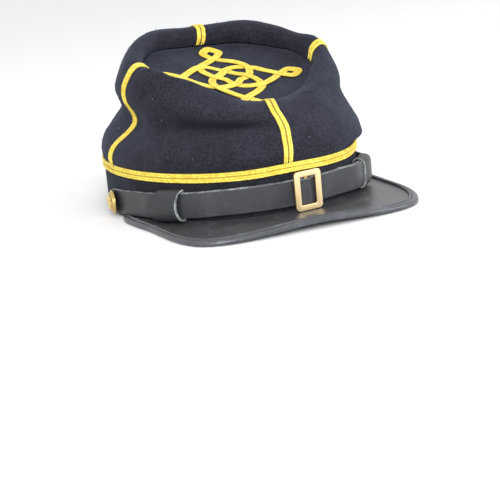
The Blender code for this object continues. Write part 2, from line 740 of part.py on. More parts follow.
def rounded_rectangle(width, height, corner):
    points = []
    for x, y, start in ((1, 1, 0), (-1, 1, 90), (-1, -1, 180), (1, -1, 270)):
        for step in range(CORNER_STEPS + 1):
            turn = math.radians(start + 90.0 * step / CORNER_STEPS)
            points.append((x * (width / 2 - corner) + corner * math.cos(turn),
                           y * (height / 2 - corner) + corner * math.sin(turn)))
    return points


def flat_curve(name, outlines, thickness):
    """A filled flat outline, with holes, as a mesh of the given thickness."""
    curve = bpy.data.curves.new(name, "CURVE")
    curve.dimensions = "2D"
    curve.fill_mode = "BOTH"
    curve.extrude = thickness / 2
    curve.render_resolution_u = 0
    for outline in outlines:
        spline = curve.splines.new("POLY")
        spline.points.add(len(outline) - 1)
        for point, (x, y) in zip(spline.points, outline):
            point.co = (x, y, 0.0, 1.0)
        spline.use_cyclic_u = True
    return curve


def curve_to_mesh(cap, curve):
    """The curve's mesh, with its caps welded to its sides."""
    holder = bpy.data.objects.new(curve.name, curve)
    cap.cutters.objects.link(holder)
    graph = bpy.context.evaluated_depsgraph_get()
    mesh = bpy.data.meshes.new_from_object(holder.evaluated_get(graph))
    bpy.data.objects.remove(holder)
    bm = bmesh.new()
    bm.from_mesh(mesh)
    bmesh.ops.remove_doubles(bm, verts=bm.verts, dist=0.01)
    bmesh.ops.recalc_face_normals(bm, faces=bm.faces)
    bm.to_mesh(mesh)
    bm.free()
    return mesh


def buckle_clear_height():
    """Half the height that the buckle leaves free round the outer strap."""
    return STRAP_HEIGHT / 2 - OVER_NARROWER + abs(BUCKLE_MIDDLE - strap_middle(BUCKLE_ANGLE)) + GAP


def make_buckle(cap):
    opening = rounded_rectangle(BUCKLE_WIDTH - 2 * BUCKLE_RAIL, 2 * buckle_clear_height(),
                                BUCKLE_INNER_CORNER)
    outline = rounded_rectangle(BUCKLE_WIDTH, BUCKLE_HEIGHT, BUCKLE_CORNER)
    mesh = curve_to_mesh(cap, flat_curve("buckle", (outline, opening), BUCKLE_THICK))
    frame = cap.add("buckle", mesh, cap.brass)
    back = OVER_OFFSET + STRAP_THICK / 2 + GAP + BUCKLE_OFF_STRAP
    seat = on_band(BUCKLE_ANGLE, BUCKLE_MIDDLE, back + BUCKLE_THICK / 2)
    seat.translation *= MM
    frame.matrix_local = seat
    bar = make_buckle_bar(cap, seat, back)
    join = frame.modifiers.new("bar", "BOOLEAN")
    join.operation = "UNION"
    join.object = bar
    bevel = frame.modifiers.new("edges", "BEVEL")
    bevel.width = BUCKLE_BEVEL * MM
    bevel.segments = 1
    bevel.limit_method = "ANGLE"
    bevel.angle_limit = math.radians(60)


def make_buckle_bar(cap, seat, back):
    """The bar behind the frame and its two feet, as one cutter body for the union."""
    depth = OVER_OFFSET - STRAP_THICK / 2 + STRAP_HUMP - GAP - BUCKLE_BAR / 2 - back - BUCKLE_THICK / 2
    reach = BUCKLE_HEIGHT / 2 - BUCKLE_FOOT_INSET
    foot = buckle_clear_height()
    upper_foot = foot - BUCKLE_FOOT_SHOWS
    radius = BUCKLE_BAR / 2
    half_width = BUCKLE_BAR_WIDTH / 2
    front = -BUCKLE_THICK / 4
    outline = [(-reach, front), (-reach, depth - radius), (reach, depth - radius), (reach, front),
               (upper_foot, front), (upper_foot, depth + radius), (-foot, depth + radius), (-foot, front)]
    bm = bmesh.new()
    sides = [[bm.verts.new((x, up, out)) for up, out in outline] for x in (-half_width, half_width)]
    count = len(outline)
    for j in range(count):
        k = (j + 1) % count
        bm.faces.new((sides[0][j], sides[0][k], sides[1][k], sides[1][j]))
    bm.faces.new(list(reversed(sides[0])))
    bm.faces.new(sides[1])
    bmesh.ops.recalc_face_normals(bm, faces=bm.faces)
    mesh = bpy.data.meshes.new("buckle_bar")
    bm.to_mesh(mesh)
    bm.free()
    mesh.transform(Matrix.Scale(MM, 4))
    bar = bpy.data.objects.new("buckle_bar", mesh)
    bar.parent = cap.origin
    bar.matrix_local = seat
    bar.hide_render = True
    bar.display_type = "WIRE"
    cap.cutters.objects.link(bar)
    return bar


# ---------------------------------------------------------------- buttons
def button_seat(side, offset):
    angle = side * BUTTON_ANGLE
    seat = on_band(angle, strap_middle(angle), offset)
    seat.translation *= MM
    return seat


def cut_shank_hole(cap, strap, angle):
    bpy.ops.mesh.primitive_cylinder_add(vertices=12, radius=SHANK_HOLE * MM, depth=8 * MM)
    hole = bpy.context.object
    hole.name = "shank_hole"
    for group in list(hole.users_collection):
        group.objects.unlink(hole)
    cap.cutters.objects.link(hole)
    hole.parent = cap.origin
    hole.matrix_local = button_seat(1 if angle > 0 else -1, 1.0)
    hole.hide_render = True
    hole.display_type = "WIRE"
    cut = strap.modifiers.new("shank hole", "BOOLEAN")
    cut.operation = "DIFFERENCE"
    cut.object = hole


def make_button(cap, name, side):
    """A domed head on a shank, turned about the axis that points out of the band."""
    under = UNDER_OFFSET + STRAP_THICK / 2 + GAP
    profile = [(0.0, under + BUTTON_DOME + BUTTON_RIM - 0.6)]
    for turn in (15.0, 35.0, 55.0, 75.0):
        slope = math.radians(turn)
        profile.append(((BUTTON_RADIUS - 1.0) * math.sin(slope),
                        under + BUTTON_RIM - 0.6 + BUTTON_DOME * math.cos(slope)))
    profile += [(BUTTON_RADIUS - 0.9, under + BUTTON_RIM), (BUTTON_RADIUS, under + BUTTON_RIM * 0.7),
                (BUTTON_RADIUS, under + 0.3), (BUTTON_RADIUS - 0.5, under),
                (SHANK_RADIUS, under), (SHANK_RADIUS, GAP), (0.0, GAP)]
    bm = bmesh.new()
    points = [bm.verts.new((x, 0.0, z)) for x, z in profile]
    for a, b in zip(points, points[1:]):
        bm.edges.new((a, b))
    mesh = bpy.data.meshes.new(name)
    bm.to_mesh(mesh)
    bm.free()
    button = cap.add(name, mesh, cap.brass)
    button.matrix_local = button_seat(side, 0.0)
    screw = button.modifiers.new("turn", "SCREW")
    screw.steps = 16
    screw.render_steps = 16
    screw.axis = "Z"
    screw.use_merge_vertices = True
    screw.merge_threshold = 0.00005
    screw.use_smooth_shade = True


def main():
    clear_scene()
    cap = Cap()
    make_band(cap)
    make_crown(cap)
    make_top(cap)
    make_band_braid(cap)
    for name, angle in (("front_stripe", 0.0), ("left_stripe", 90.0),
                        ("back_stripe", 180.0), ("right_stripe", -90.0)):
        make_stripe(cap, name, angle)
    make_knot(cap)
    make_peak(cap)
    make_binding(cap)
    make_strap_under(cap)
    make_strap_over(cap)
    for keeper in KEEPERS:
        make_keeper(cap, keeper)
    make_buckle(cap)
    make_button(cap, "button_right", -1)
    make_button(cap, "button_left", 1)


main()
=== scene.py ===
"""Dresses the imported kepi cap: wool crown and band, yellow soutache, bound peak and buckled strap.

Sizes are millimetres in the cap's own frame, whose origin lies on the floor in the middle of the
band: the peak points to -Y, the wearer's left is +X and up is +Z. to_frame() turns them into
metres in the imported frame. Angles are degrees round the band from the middle of its front:
90 is the wearer's left, -90 the wearer's right and 180 the back.
"""
from __future__ import annotations

import logging
import math
from dataclasses import dataclass, field
from enum import Enum
from typing import Any, Callable, NamedTuple, Sequence

import bmesh
import bpy
import numpy as np
from mathutils import Matrix, Vector, noise


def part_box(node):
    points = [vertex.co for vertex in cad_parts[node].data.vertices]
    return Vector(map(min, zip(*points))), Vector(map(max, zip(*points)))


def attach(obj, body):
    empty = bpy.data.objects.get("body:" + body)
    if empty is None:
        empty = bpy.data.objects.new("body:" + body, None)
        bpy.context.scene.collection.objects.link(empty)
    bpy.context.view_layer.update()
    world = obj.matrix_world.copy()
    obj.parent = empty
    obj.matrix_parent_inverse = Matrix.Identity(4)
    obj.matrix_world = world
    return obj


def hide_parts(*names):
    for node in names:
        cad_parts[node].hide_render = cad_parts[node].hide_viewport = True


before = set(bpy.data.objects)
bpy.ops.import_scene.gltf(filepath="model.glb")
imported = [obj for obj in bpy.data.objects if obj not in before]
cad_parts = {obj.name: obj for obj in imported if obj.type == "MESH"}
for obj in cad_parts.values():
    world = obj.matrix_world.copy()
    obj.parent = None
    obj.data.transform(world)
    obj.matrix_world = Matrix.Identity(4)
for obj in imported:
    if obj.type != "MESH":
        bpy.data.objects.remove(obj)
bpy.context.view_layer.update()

LOG = logging.getLogger("kepi_cap")
Array = np.ndarray
Colour = tuple[float, float, float]
Number = float | Array
Mesh = bpy.types.Mesh
Material = bpy.types.Material
Chart = Callable[[Array], Array]
Lay = Callable[[Array], tuple[Array, Array]]

MM = 0.001
GAP = 0.3                       # between pieces that touch
EDGE_BULGE = 0.22               # how far a cloth's cut edge swells, as a share of its thickness
CROWN_RIPPLES = ((17.0, 11.0, 0.34), (6.5, 5.0, 0.12))     # length, seed and depth of each
NEAR_ROW = 0.08                 # steps in which the crown's slope is measured
NEAR_ANGLE = 0.6
END_SHAPE = (                   # of a braid: station from an open end, width and height there
    (0, 0.55, 0.3), (1, 0.88, 0.8), (-1, 0.55, 0.3), (-2, 0.88, 0.8))
BODY = "root"
UP = np.array((0.0, 0.0, 1.0))


class Slot(Enum):
    """Names of the cap's material slots."""

    WOOL = "navy_wool"
    BRAID = "yellow_braid"
    PEAK = "peak_leather"
    BINDING = "binding_leather"
    STRAP = "strap_leather"
    BUCKLE = "buckle_brass"
    BUTTON = "button_brass"


class Side(Enum):
    """The wearer's two sides, as the sign of an angle."""

    RIGHT = -1
    LEFT = 1


# ---- frame
def box_mm(node: str) -> tuple[Array, Array]:
    """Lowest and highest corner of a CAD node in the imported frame, in millimetres."""
    low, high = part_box(node)
    return np.array(low) / MM, np.array(high) / MM


BAND_LOW, BAND_HIGH = box_mm("band")
CAP_SHIFT = (BAND_LOW[1] + BAND_HIGH[1]) / 2


def to_frame(points: Array) -> Array:
    """Bring points of the cap, with x, y and z in their last axis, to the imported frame's metres."""
    return (np.asarray(points, float) + (0.0, CAP_SHIFT, 0.0)) * MM


# ---- curves
def bell(distance: Number, reach: Number) -> Number:
    """Smooth bump that is 1 in its middle and fades past its reach."""
    return np.exp(-np.square(np.asarray(distance) / reach))


def clamped(value: Number) -> Number:
    """A value held between 0 and 1."""
    return np.clip(value, 0.0, 1.0)


def angle_between(a: Number, b: Number) -> Number:
    """Signed turn from one angle to another, between -180 and 180 degrees."""
    return (np.asarray(a) - b + 180.0) % 360.0 - 180.0


def unit(vectors: Array) -> Array:
    """Vectors at length 1."""
    return vectors / np.linalg.norm(vectors, axis=-1, keepdims=True)


def spline(table: Array, at: Number, closed: bool = False) -> Array:
    """Follow a smooth curve through the rows of a table.

    Args:
        table: One row for each point that the curve passes through.
        at: Row numbers, which may lie between rows.
        closed: Whether the last row is followed by the first.

    Returns:
        The curve's rows there, in a last axis as wide as the table.
    """
    at = np.asarray(at, float)
    count = len(table)
    first = np.floor(at).astype(int)
    if not closed:
        first = np.clip(first, 0, count - 2)
    rows = (first + step for step in (-1, 0, 1, 2))
    a, b, c, d = (table[row % count if closed else np.clip(row, 0, count - 1)] for row in rows)
    t = (at - first)[..., None]
    bend = (a * 2 - b * 5 + c * 4 - d) * t ** 2 + (b * 3 - a - c * 3 + d) * t ** 3
    return (b * 2 + (c - a) * t + bend) / 2


def evenly(path: Array, count: int) -> Array:
    """Points at equal distances along a path.

    Args:
        path: The path's points.
        count: How many are wanted.

    Returns:
        The points, the first and last of the path among them.
    """
    lengths = run_lengths(path)
    wanted = np.linspace(0.0, lengths[-1], count)
    return np.stack([np.interp(wanted, lengths, path[:, axis]) for axis in range(path.shape[1])], -1)


def run_lengths(path: Array) -> Array:
    """Distance along a path from its start to each of its points."""
    steps = np.linalg.norm(np.diff(path, axis=0), axis=-1)
    return np.concatenate([[0.0], np.cumsum(steps)])


def unevenness(points: Array, wavelength: float, seed: float) -> Array:
    """Soft random heights for hand-made surfaces.

    Args:
        points: Places in millimetres.
        wavelength: Size of a rise or hollow, in millimetres.
        seed: Moves the pattern.

    Returns:
        A height between about -1 and 1 for each place.
    """
    flat = points.reshape(-1, 3) / wavelength + seed
    heights = [noise.noise(Vector(place)) for place in flat]
    return np.array(heights).reshape(points.shape[:-1])


def rounded_rectangle(width: float, height: float, corner: float, steps: int) -> tuple[Array, Array]:
    """Outline of a rectangle with round corners, and the direction away from it.

    Args:
        width: Along x.
        height: Along y.
        corner: Radius of the corners.
        steps: Spans of each corner.

    Returns:
        The outline's points and its outward directions, counter-clockwise.
    """
    points, away = [], []
    for x, y, start in ((1, 1, 0), (-1, 1, 90), (-1, -1, 180), (1, -1, 270)):
        for turn in np.radians(start + np.linspace(0.0, 90.0, steps + 1)):
            direction = np.array((math.cos(turn), math.sin(turn)))
            centre = np.array((x * (width / 2 - corner), y * (height / 2 - corner)))
            points.append(centre + corner * direction)
            away.append(direction)
    return np.array(points), np.array(away)


# ---- meshes
def put_in_scene(name: str, data: bpy.types.ID) -> bpy.types.Object:
    """Make an object of a mesh, lamp or camera, and link it.

    Args:
        name: Of the object.
        data: What it shows.

    Returns:
        The object.
    """
    made = bpy.data.objects.new(name, data)
    bpy.context.scene.collection.objects.link(made)
    return made


def grid_mesh(name: str, points: Array, wrap_rows: bool = False, wrap_columns: bool = True,
              capped: bool = False) -> Mesh:
    """Quads over a grid of points.

    Args:
        name: The mesh's name.
        points: Rows of points in the cap's millimetres.
        wrap_rows: Whether the last row joins the first.
        wrap_columns: Whether each row is a ring.
        capped: Whether the first and last rings are closed with a face.

    Returns:
        A smooth-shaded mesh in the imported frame's metres.
    """
    rows, columns = points.shape[:2]
    index = np.arange(rows * columns).reshape(rows, columns)
    caps = [index[0][::-1].tolist(), index[-1].tolist()] if capped else []
    if wrap_rows:
        index = np.vstack([index, index[:1]])
    if wrap_columns:
        index = np.hstack([index, index[:, :1]])
    corners = (index[:-1, :-1], index[:-1, 1:], index[1:, 1:], index[1:, :-1])
    faces = np.stack(corners, axis=-1).reshape(-1, 4).tolist()
    mesh = bpy.data.meshes.new(name)
    mesh.from_pydata(to_frame(points).reshape(-1, 3).tolist(), [], faces + caps)
    mesh.shade_smooth()
    return mesh


def face_outward(mesh: Mesh) -> Mesh:
    """Turn the faces of a closed mesh outward.

    Args:
        mesh: A closed mesh.

    Returns:
        The same mesh.
    """
    bm = bmesh.new()
    bm.from_mesh(mesh)
    bmesh.ops.recalc_face_normals(bm, faces=bm.faces)
    bm.to_mesh(mesh)
    bm.free()
    return mesh


def close_ends(mesh: Mesh, columns: int) -> Mesh:
    """Close the first and last rings of a grid with triangles to their middles.

    Args:
        mesh: A grid of rings.
        columns: Points in a ring.

    Returns:
        The same mesh, with its faces turned outward.
    """
    bm = bmesh.new()
    bm.from_mesh(mesh)
    verts = list(bm.verts)
    for ring in (verts[:columns], verts[-columns:]):
        pole = bm.verts.new(sum((vert.co for vert in ring), Vector()) / columns)
        for first, second in zip(ring, ring[1:] + ring[:1]):
            bm.faces.new((pole, first, second)).smooth = True
    bm.to_mesh(mesh)
    bm.free()
    return face_outward(mesh)


def mark(mesh: Mesh, name: str, values: Array) -> None:
    """Store a number for each point of a mesh, for its material to read."""
    layer = mesh.attributes.new(name, "FLOAT", "POINT")
    layer.data.foreach_set("value", np.asarray(values, np.float32).ravel())


def thread_lines(name: str, runs: Array, up: Array, leans: Array, closed: bool = False) -> Mesh:
    """Lines for threads to be laid along.

    Args:
        name: Of the mesh.
        runs: The points of each line, in the cap's millimetres.
        up: The direction off the surface at each point.
        leans: The share of their slant that each line's threads take.
        closed: Whether each line ends where it starts.

    Returns:
        A mesh of edges alone.
    """
    lines, stations = runs.shape[:2]
    here = np.arange(lines * stations).reshape(lines, stations)
    edges = np.stack([here, np.roll(here, -1, axis=1)], -1)
    if not closed:
        edges = edges[:, :-1]
    mesh = bpy.data.meshes.new(name)
    mesh.from_pydata(to_frame(runs).reshape(-1, 3).tolist(), edges.reshape(-1, 2).tolist(), [])
    layer = mesh.attributes.new("up", "FLOAT_VECTOR", "POINT")
    layer.data.foreach_set("vector", np.asarray(up, np.float32).ravel())
    mark(mesh, "lean", np.repeat(leans, stations))
    return mesh


def cloth_wall(name: str, face: Array, out: Array, thickness: float) -> Mesh:
    """Give a ring-shaped cloth its thickness behind the face that shows.

    Args:
        name: The mesh's name.
        face: Rows of points from one edge of the cloth to the other, each row a ring.
        out: The face's outward normals.
        thickness: Of the cloth, in millimetres.

    Returns:
        A closed mesh, rounded at both edges.
    """
    back = face - out * thickness
    ends = []
    for row, neighbour in ((-1, -2), (0, 1)):
        middle = (face[row] + back[row]) / 2
        beyond = unit(middle - (face[neighbour] + back[neighbour]) / 2)
        ends.append(middle + beyond * thickness * EDGE_BULGE)
    rows = np.concatenate([face, ends[0][None], back[::-1], ends[1][None]])
    return grid_mesh(name, rows, wrap_rows=True)


# ---- node trees
def operator(operation: str, swapped: bool = False) -> Callable[[Socket, Operand], Socket]:
    """A method for one of Python's operators, as a Math node.

    Args:
        operation: Blender's name of it.
        swapped: Whether the other value comes first.

    Returns:
        The method.
    """
    def method(self: Socket, other: Operand) -> Socket:
        """Add the node for two values."""
        values = (other, self) if swapped else (self, other)
        return self.tree.node("ShaderNodeMath", dict(enumerate(values)), operation=operation)

    return method


class Socket:
    """A node's output, which adds nodes when Python arithmetic is done on it."""

    def __init__(self, tree: Tree, output: bpy.types.NodeSocket) -> None:
        """Keep the tree with the output, so that sums know where to go."""
        self.tree = tree
        self.output = output

    __add__ = __radd__ = operator("ADD")
    __sub__ = operator("SUBTRACT")
    __rsub__ = operator("SUBTRACT", swapped=True)
    __mul__ = __rmul__ = operator("MULTIPLY")
    __truediv__ = operator("DIVIDE")

    def __neg__(self) -> Socket:
        """A value with its sign turned."""
        return self * -1.0

    def step(self, low: float, high: float, start: float = 0.0, end: float = 1.0) -> Socket:
        """Ease from one number to another while the value passes between two limits."""
        ends = {"Value": self, "From Min": low, "From Max": high, "To Min": start, "To Max": end}
        return self.tree.node("ShaderNodeMapRange", ends, interpolation_type="SMOOTHSTEP")


Operand = Socket | float | str | bool | Sequence[float] | bpy.types.ID


class Tree:
    """A node tree under construction."""

    def __init__(self, tree: bpy.types.NodeTree) -> None:
        """Start with no nodes."""
        self.tree = tree
        tree.nodes.clear()

    def node(self, kind: str, inputs: dict[int | str, Operand] | None = None, output: int | str = 0,
             **settings: Any) -> Socket | None:
        """Add a node.

        Args:
            kind: Blender's name of the node type.
            inputs: Numbers for the node's sockets, or sockets to link to them.
            output: Which output is wanted.
            settings: The node's own properties, which are set first.

        Returns:
            That output, if the node has any.
        """
        made = self.tree.nodes.new(kind)
        for name, value in settings.items():
            setattr(made, name, value)
        for key, value in (inputs or {}).items():
            if isinstance(value, Socket):
                self.tree.links.new(value.output, made.inputs[key])
            else:
                made.inputs[key].default_value = value
        return Socket(self, made.outputs[output]) if len(made.outputs) else None


class Shading(Tree):
    """A material's node tree."""

    def place(self) -> Socket:
        """Object coordinates, in metres."""
        return self.node("ShaderNodeTexCoord", output="Object")

    def attribute(self, name: str) -> Socket:
        """A number stored on the mesh."""
        return self.node("ShaderNodeAttribute", output="Fac", attribute_name=name)

    def stretched(self, scale: Sequence[float], turn: Sequence[float] = (0.0, 0.0, 0.0)) -> Socket:
        """Object coordinates with a scale along each axis, and turned."""
        return self.node("ShaderNodeMapping", {"Vector": self.place(), "Scale": scale, "Rotation": turn})

    def clouds(self, size: float, detail: float = 3.0, roughness: float = 0.5,
               where: Socket | None = None) -> Socket:
        """Soft noise.

        Args:
            size: Of its features, in millimetres.
            detail: How many finer layers it has.
            roughness: How strong those are.
            where: Coordinates other than the object's own.

        Returns:
            A value of about 0.5, between 0 and 1.
        """
        return self.node("ShaderNodeTexNoise", {
            "Vector": where or self.place(), "Scale": 1.0 / (size * MM), "Detail": detail,
            "Roughness": roughness}, "Fac")

    def cells(self, size: float) -> Socket:
        """Distance from the middle of cells, whose size is in millimetres."""
        return self.node("ShaderNodeTexVoronoi", {"Vector": self.place(), "Scale": 1.0 / (size * MM)})

    def blend(self, share: Operand, first: Operand, second: Operand) -> Socket:
        """Mix two colours."""
        one, other = (value if isinstance(value, Socket) else (*value, 1.0) for value in (first, second))
        return self.node("ShaderNodeMix", {0: share, 6: one, 7: other}, 2, data_type="RGBA")

    def bump(self, height: Socket, depth: float, below: Socket | None = None) -> Socket:
        """Relief that is too fine for the mesh.

        Args:
            height: Between 0 and 1.
            depth: What 1 stands for, in millimetres.
            below: A coarser relief that it lies on.

        Returns:
            The normal.
        """
        inputs: dict[int | str, Operand] = {"Height": height, "Distance": depth * MM}
        if below:
            inputs["Normal"] = below
        return self.node("ShaderNodeBump", inputs)

    def principled(self, **inputs: Operand) -> Socket:
        """The surface shader, with underscores for the spaces in its sockets' names."""
        named = {key.replace("_", " "): value for key, value in inputs.items()}
        return self.node("ShaderNodeBsdfPrincipled", named)

    def surface(self, shader: Socket) -> None:
        """Finish the tree with a shader."""
        self.node("ShaderNodeOutputMaterial", {"Surface": shader})


# ---- finishes
@dataclass(frozen=True)
class Finish:
    """A procedural material that is made once."""

    name: str

    def make(self) -> Material:
        """Build the material."""
        material = bpy.data.materials.new(self.name)
        material.use_nodes = True
        self.dress(Shading(material.node_tree))
        return material

    def dress(self, nodes: Shading) -> None:
        """Fill the material's tree."""
        raise NotImplementedError


@dataclass(frozen=True)
class Wool(Finish):
    """Milled wool with a short nap."""

    deep: Colour = (0.0040, 0.0040, 0.0066)
    raised: Colour = (0.0310, 0.0308, 0.0450)
    sheen: float = 0.08
    tuft: float = 1.5
    fibre: float = 0.35
    patch: float = 16.0

    def dress(self, nodes: Shading) -> None:
        """Clouded colour under tufts and crossing fibres, darkened as painted shade in the creases that the
        mesh marks.

        Args:
            nodes: The material's tree.
        """
        tufts = nodes.clouds(self.tuft, 6.0, 0.72)
        rising = nodes.clouds(self.fibre, 2.0, 0.6, nodes.stretched((1.0, 1.0, 0.22), (0.5, 0.3, 0.0)))
        lying = nodes.clouds(self.fibre, 2.0, 0.6, nodes.stretched((0.22, 1.0, 1.0), (0.0, 0.4, 0.7)))
        patches = nodes.clouds(self.patch, 3.0, 0.6)
        nap = tufts * 0.5 + rising * 0.28 + lying * 0.22
        # painted shade: the creases that the mesh marks darken the colour
        share = (nap * 0.86 + patches * 0.14).step(0.39, 0.66) * (1.0 - nodes.attribute("fold") * 0.8)
        relief = nodes.bump(nap, 0.7, nodes.bump(patches, 0.3))
        nodes.surface(nodes.principled(
            Base_Color=nodes.blend(share, self.deep, self.raised), Roughness=0.95,
            Specular_IOR_Level=0.15, Sheen_Weight=self.sheen, Sheen_Roughness=0.42,
            Sheen_Tint=(0.58, 0.67, 1.0, 1.0), Normal=relief))


@dataclass(frozen=True)
class BraidYarn(Finish):
    """Yellow rayon yarn."""

    deep: Colour = (0.50, 0.345, 0.024)
    bright: Colour = (0.85, 0.735, 0.140)
    shaded: Colour = (0.09, 0.05, 0.01)
    filament: float = 0.16

    def dress(self, nodes: Shading) -> None:
        """A tint for each strand, fine filaments in its colour and relief, and painted shade in the parting
        between the pairs.

        Args:
            nodes: The material's tree.
        """
        filaments = nodes.clouds(self.filament, 3.0, 0.6)
        soiling = nodes.clouds(9.0, 2.0)
        share = nodes.attribute("tint") * 0.5 + filaments * 0.35 + soiling * 0.3
        yarn = nodes.blend(share.step(0.28, 0.80), self.deep, self.bright)
        nodes.surface(nodes.principled(
            # painted shade: the parting between the pairs takes the shaded colour
            Base_Color=nodes.blend(nodes.attribute("parting"), yarn, self.shaded), Roughness=0.55,
            Specular_IOR_Level=0.30, Sheen_Weight=0.10, Sheen_Roughness=0.3,
            Sheen_Tint=(1.0, 0.95, 0.75, 1.0), Normal=nodes.bump(filaments, 0.08)))


@dataclass(frozen=True)
class Thread(Finish):
    """Plain sewing thread or a loose fibre."""

    colour: Colour

    def dress(self, nodes: Shading) -> None:
        """One colour, a little mottled.

        Args:
            nodes: The material's tree.
        """
        mottle = nodes.clouds(0.4)
        paler = tuple(min(channel * 1.5, 1.0) for channel in self.colour)
        nodes.surface(nodes.principled(Base_Color=nodes.blend(mottle, self.colour, paler), Roughness=0.7))


@dataclass(frozen=True)
class Leather(Finish):
    """Dyed leather, paler where it was cut."""

    colour: Colour
    rubbed: Colour
    roughness: float
    raw: Colour = (0.46, 0.50, 0.50)
    grain: float = 0.55
    grain_depth: float = 0.05
    crease: float = 7.0
    crease_depth: float = 0.12

    def dress(self, nodes: Shading) -> None:
        """Grain and faint creases, rubbed patches, and raw cut edges by the mesh's mark.

        Args:
            nodes: The material's tree.
        """
        pores = nodes.cells(self.grain)
        fine = nodes.clouds(self.grain * 0.5, 4.0, 0.6)
        creases = nodes.clouds(self.crease, 4.0, 0.55)
        patches = nodes.clouds(22.0, 3.0)
        scuffs = nodes.clouds(0.9, 4.0, 0.7, nodes.stretched((0.12, 1.0, 1.0), (0.0, 0.0, 0.3)))
        rubbed = (patches * 0.5 + scuffs * 0.5).step(0.46, 0.68)
        fray = nodes.clouds(1.3, 4.0, 0.7)
        worn = nodes.clouds(9.0, 2.0).step(0.38, 0.58, 0.35, 1.0)
        cut = nodes.attribute("cut_edge") * fray.step(0.34, 0.60, 0.15, 1.0) * worn
        colour = nodes.blend(cut, nodes.blend(rubbed, self.colour, self.rubbed), self.raw)
        gloss = self.roughness + rubbed * 0.10 + fine * 0.10 - 0.05 + cut * 0.35
        relief = nodes.bump(
            pores * 0.5 + fine * 0.5, self.grain_depth, nodes.bump(creases, self.crease_depth))
        nodes.surface(
            nodes.principled(Base_Color=colour, Roughness=gloss, Specular_IOR_Level=0.5, Normal=relief))


@dataclass(frozen=True)
class Brass(Finish):
    """Brushed or cast brass."""

    colour: Colour
    tarnish_and_shade: Colour
    roughness: float
    brushing: tuple[float, float, float] = (1.0, 1.0, 0.04)

    def dress(self, nodes: Shading) -> None:
        """Brush lines along one axis, random dark patches, and the darker colour where the mesh marks
        patina in hollows and painted shade on sides and backs.

        Args:
            nodes: The material's tree.
        """
        lines = nodes.clouds(0.25, 4.0, 0.6, nodes.stretched(self.brushing))
        patches = nodes.clouds(5.0, 4.0, 0.6)
        # the mesh's mark: patina in the button's hollows, painted shade on the buckle's sides and bar and
        # on the button's rim side, underside and shank
        dark = nodes.attribute("patina_and_shade") * 0.7 + patches.step(0.5, 0.8, 0.0, 0.22)
        nodes.surface(nodes.principled(
            Base_Color=nodes.blend(dark, self.colour, self.tarnish_and_shade), Metallic=1.0,
            Roughness=self.roughness + lines * 0.16 + patches * 0.10 - 0.10,
            Normal=nodes.bump(lines, 0.02)))


@dataclass(frozen=True)
class Floor(Finish):
    """A pale floor that fades into the surroundings far from the cap."""

    colour: Colour = (0.70, 0.70, 0.705)
    clear: float = 1300.0
    gone: float = 3400.0

    def dress(self, nodes: Shading) -> None:
        """Matt and pale, see-through by distance.

        Args:
            nodes: The material's tree.
        """
        away = nodes.node("ShaderNodeVectorMath", {0: nodes.place()}, "Value", operation="LENGTH")
        grain = nodes.clouds(30.0)
        paler = tuple(channel * 0.985 for channel in self.colour)
        matt = nodes.principled(Base_Color=nodes.blend(grain, self.colour, paler), Roughness=0.85)
        clear = nodes.node("ShaderNodeBsdfTransparent")
        fade = away.step(self.clear * MM, self.gone * MM)
        nodes.surface(nodes.node("ShaderNodeMixShader", {0: fade, 1: matt, 2: clear}))


def made(finish: Finish) -> Any:
    """A field that holds the finish's material, which is built with its class."""
    return field(default_factory=finish.make)


@dataclass
class Wardrobe:
    """Every material of the cap, made once."""

    wool: Material = made(Wool("milled_navy_wool"))
    # painted shade: the band's wool is the crown's wool made darker, for the shade under the braid and over
    # the strap
    band_wool: Material = made(Wool(
        "band_wool_painted_darker", (0.0045, 0.0045, 0.0068), (0.0240, 0.0240, 0.0320), sheen=0.06))
    nap: Material = made(Thread("loose_navy_nap", (0.024, 0.025, 0.038)))
    yarn: Material = made(BraidYarn("yellow_soutache_yarn"))
    stitch: Material = made(Thread("waxed_black_thread", (0.035, 0.035, 0.04)))
    lint: Material = made(Thread("pale_lint", (0.55, 0.55, 0.58)))
    # the leathers' own dark tones, tinted blue as painted reflection of bluish highlights
    peak: Material = made(Leather(
        "satin_peak_leather", (0.0335, 0.0325, 0.0365), (0.067, 0.065, 0.073), 0.35, crease_depth=0.22))
    binding: Material = made(Leather(
        "matt_binding_leather", (0.037, 0.040, 0.047), (0.084, 0.089, 0.100), 0.30, grain=0.8,
        grain_depth=0.09))
    strap: Material = made(Leather(
        "satin_strap_leather", (0.0165, 0.0182, 0.0222), (0.036, 0.039, 0.045), 0.40, crease_depth=0.10))
    keeper: Material = made(Leather(
        "matt_keeper_leather", (0.0150, 0.0158, 0.0185), (0.032, 0.034, 0.038), 0.50, crease_depth=0.14))
    buckle: Material = made(Brass("brushed_cream_brass", (0.88, 0.68, 0.38), (0.60, 0.36, 0.10), 0.40))
    button: Material = made(Brass(
        "stamped_gilt_brass", (0.92, 0.70, 0.29), (0.26, 0.16, 0.04), 0.26, (1.0, 1.0, 1.0)))


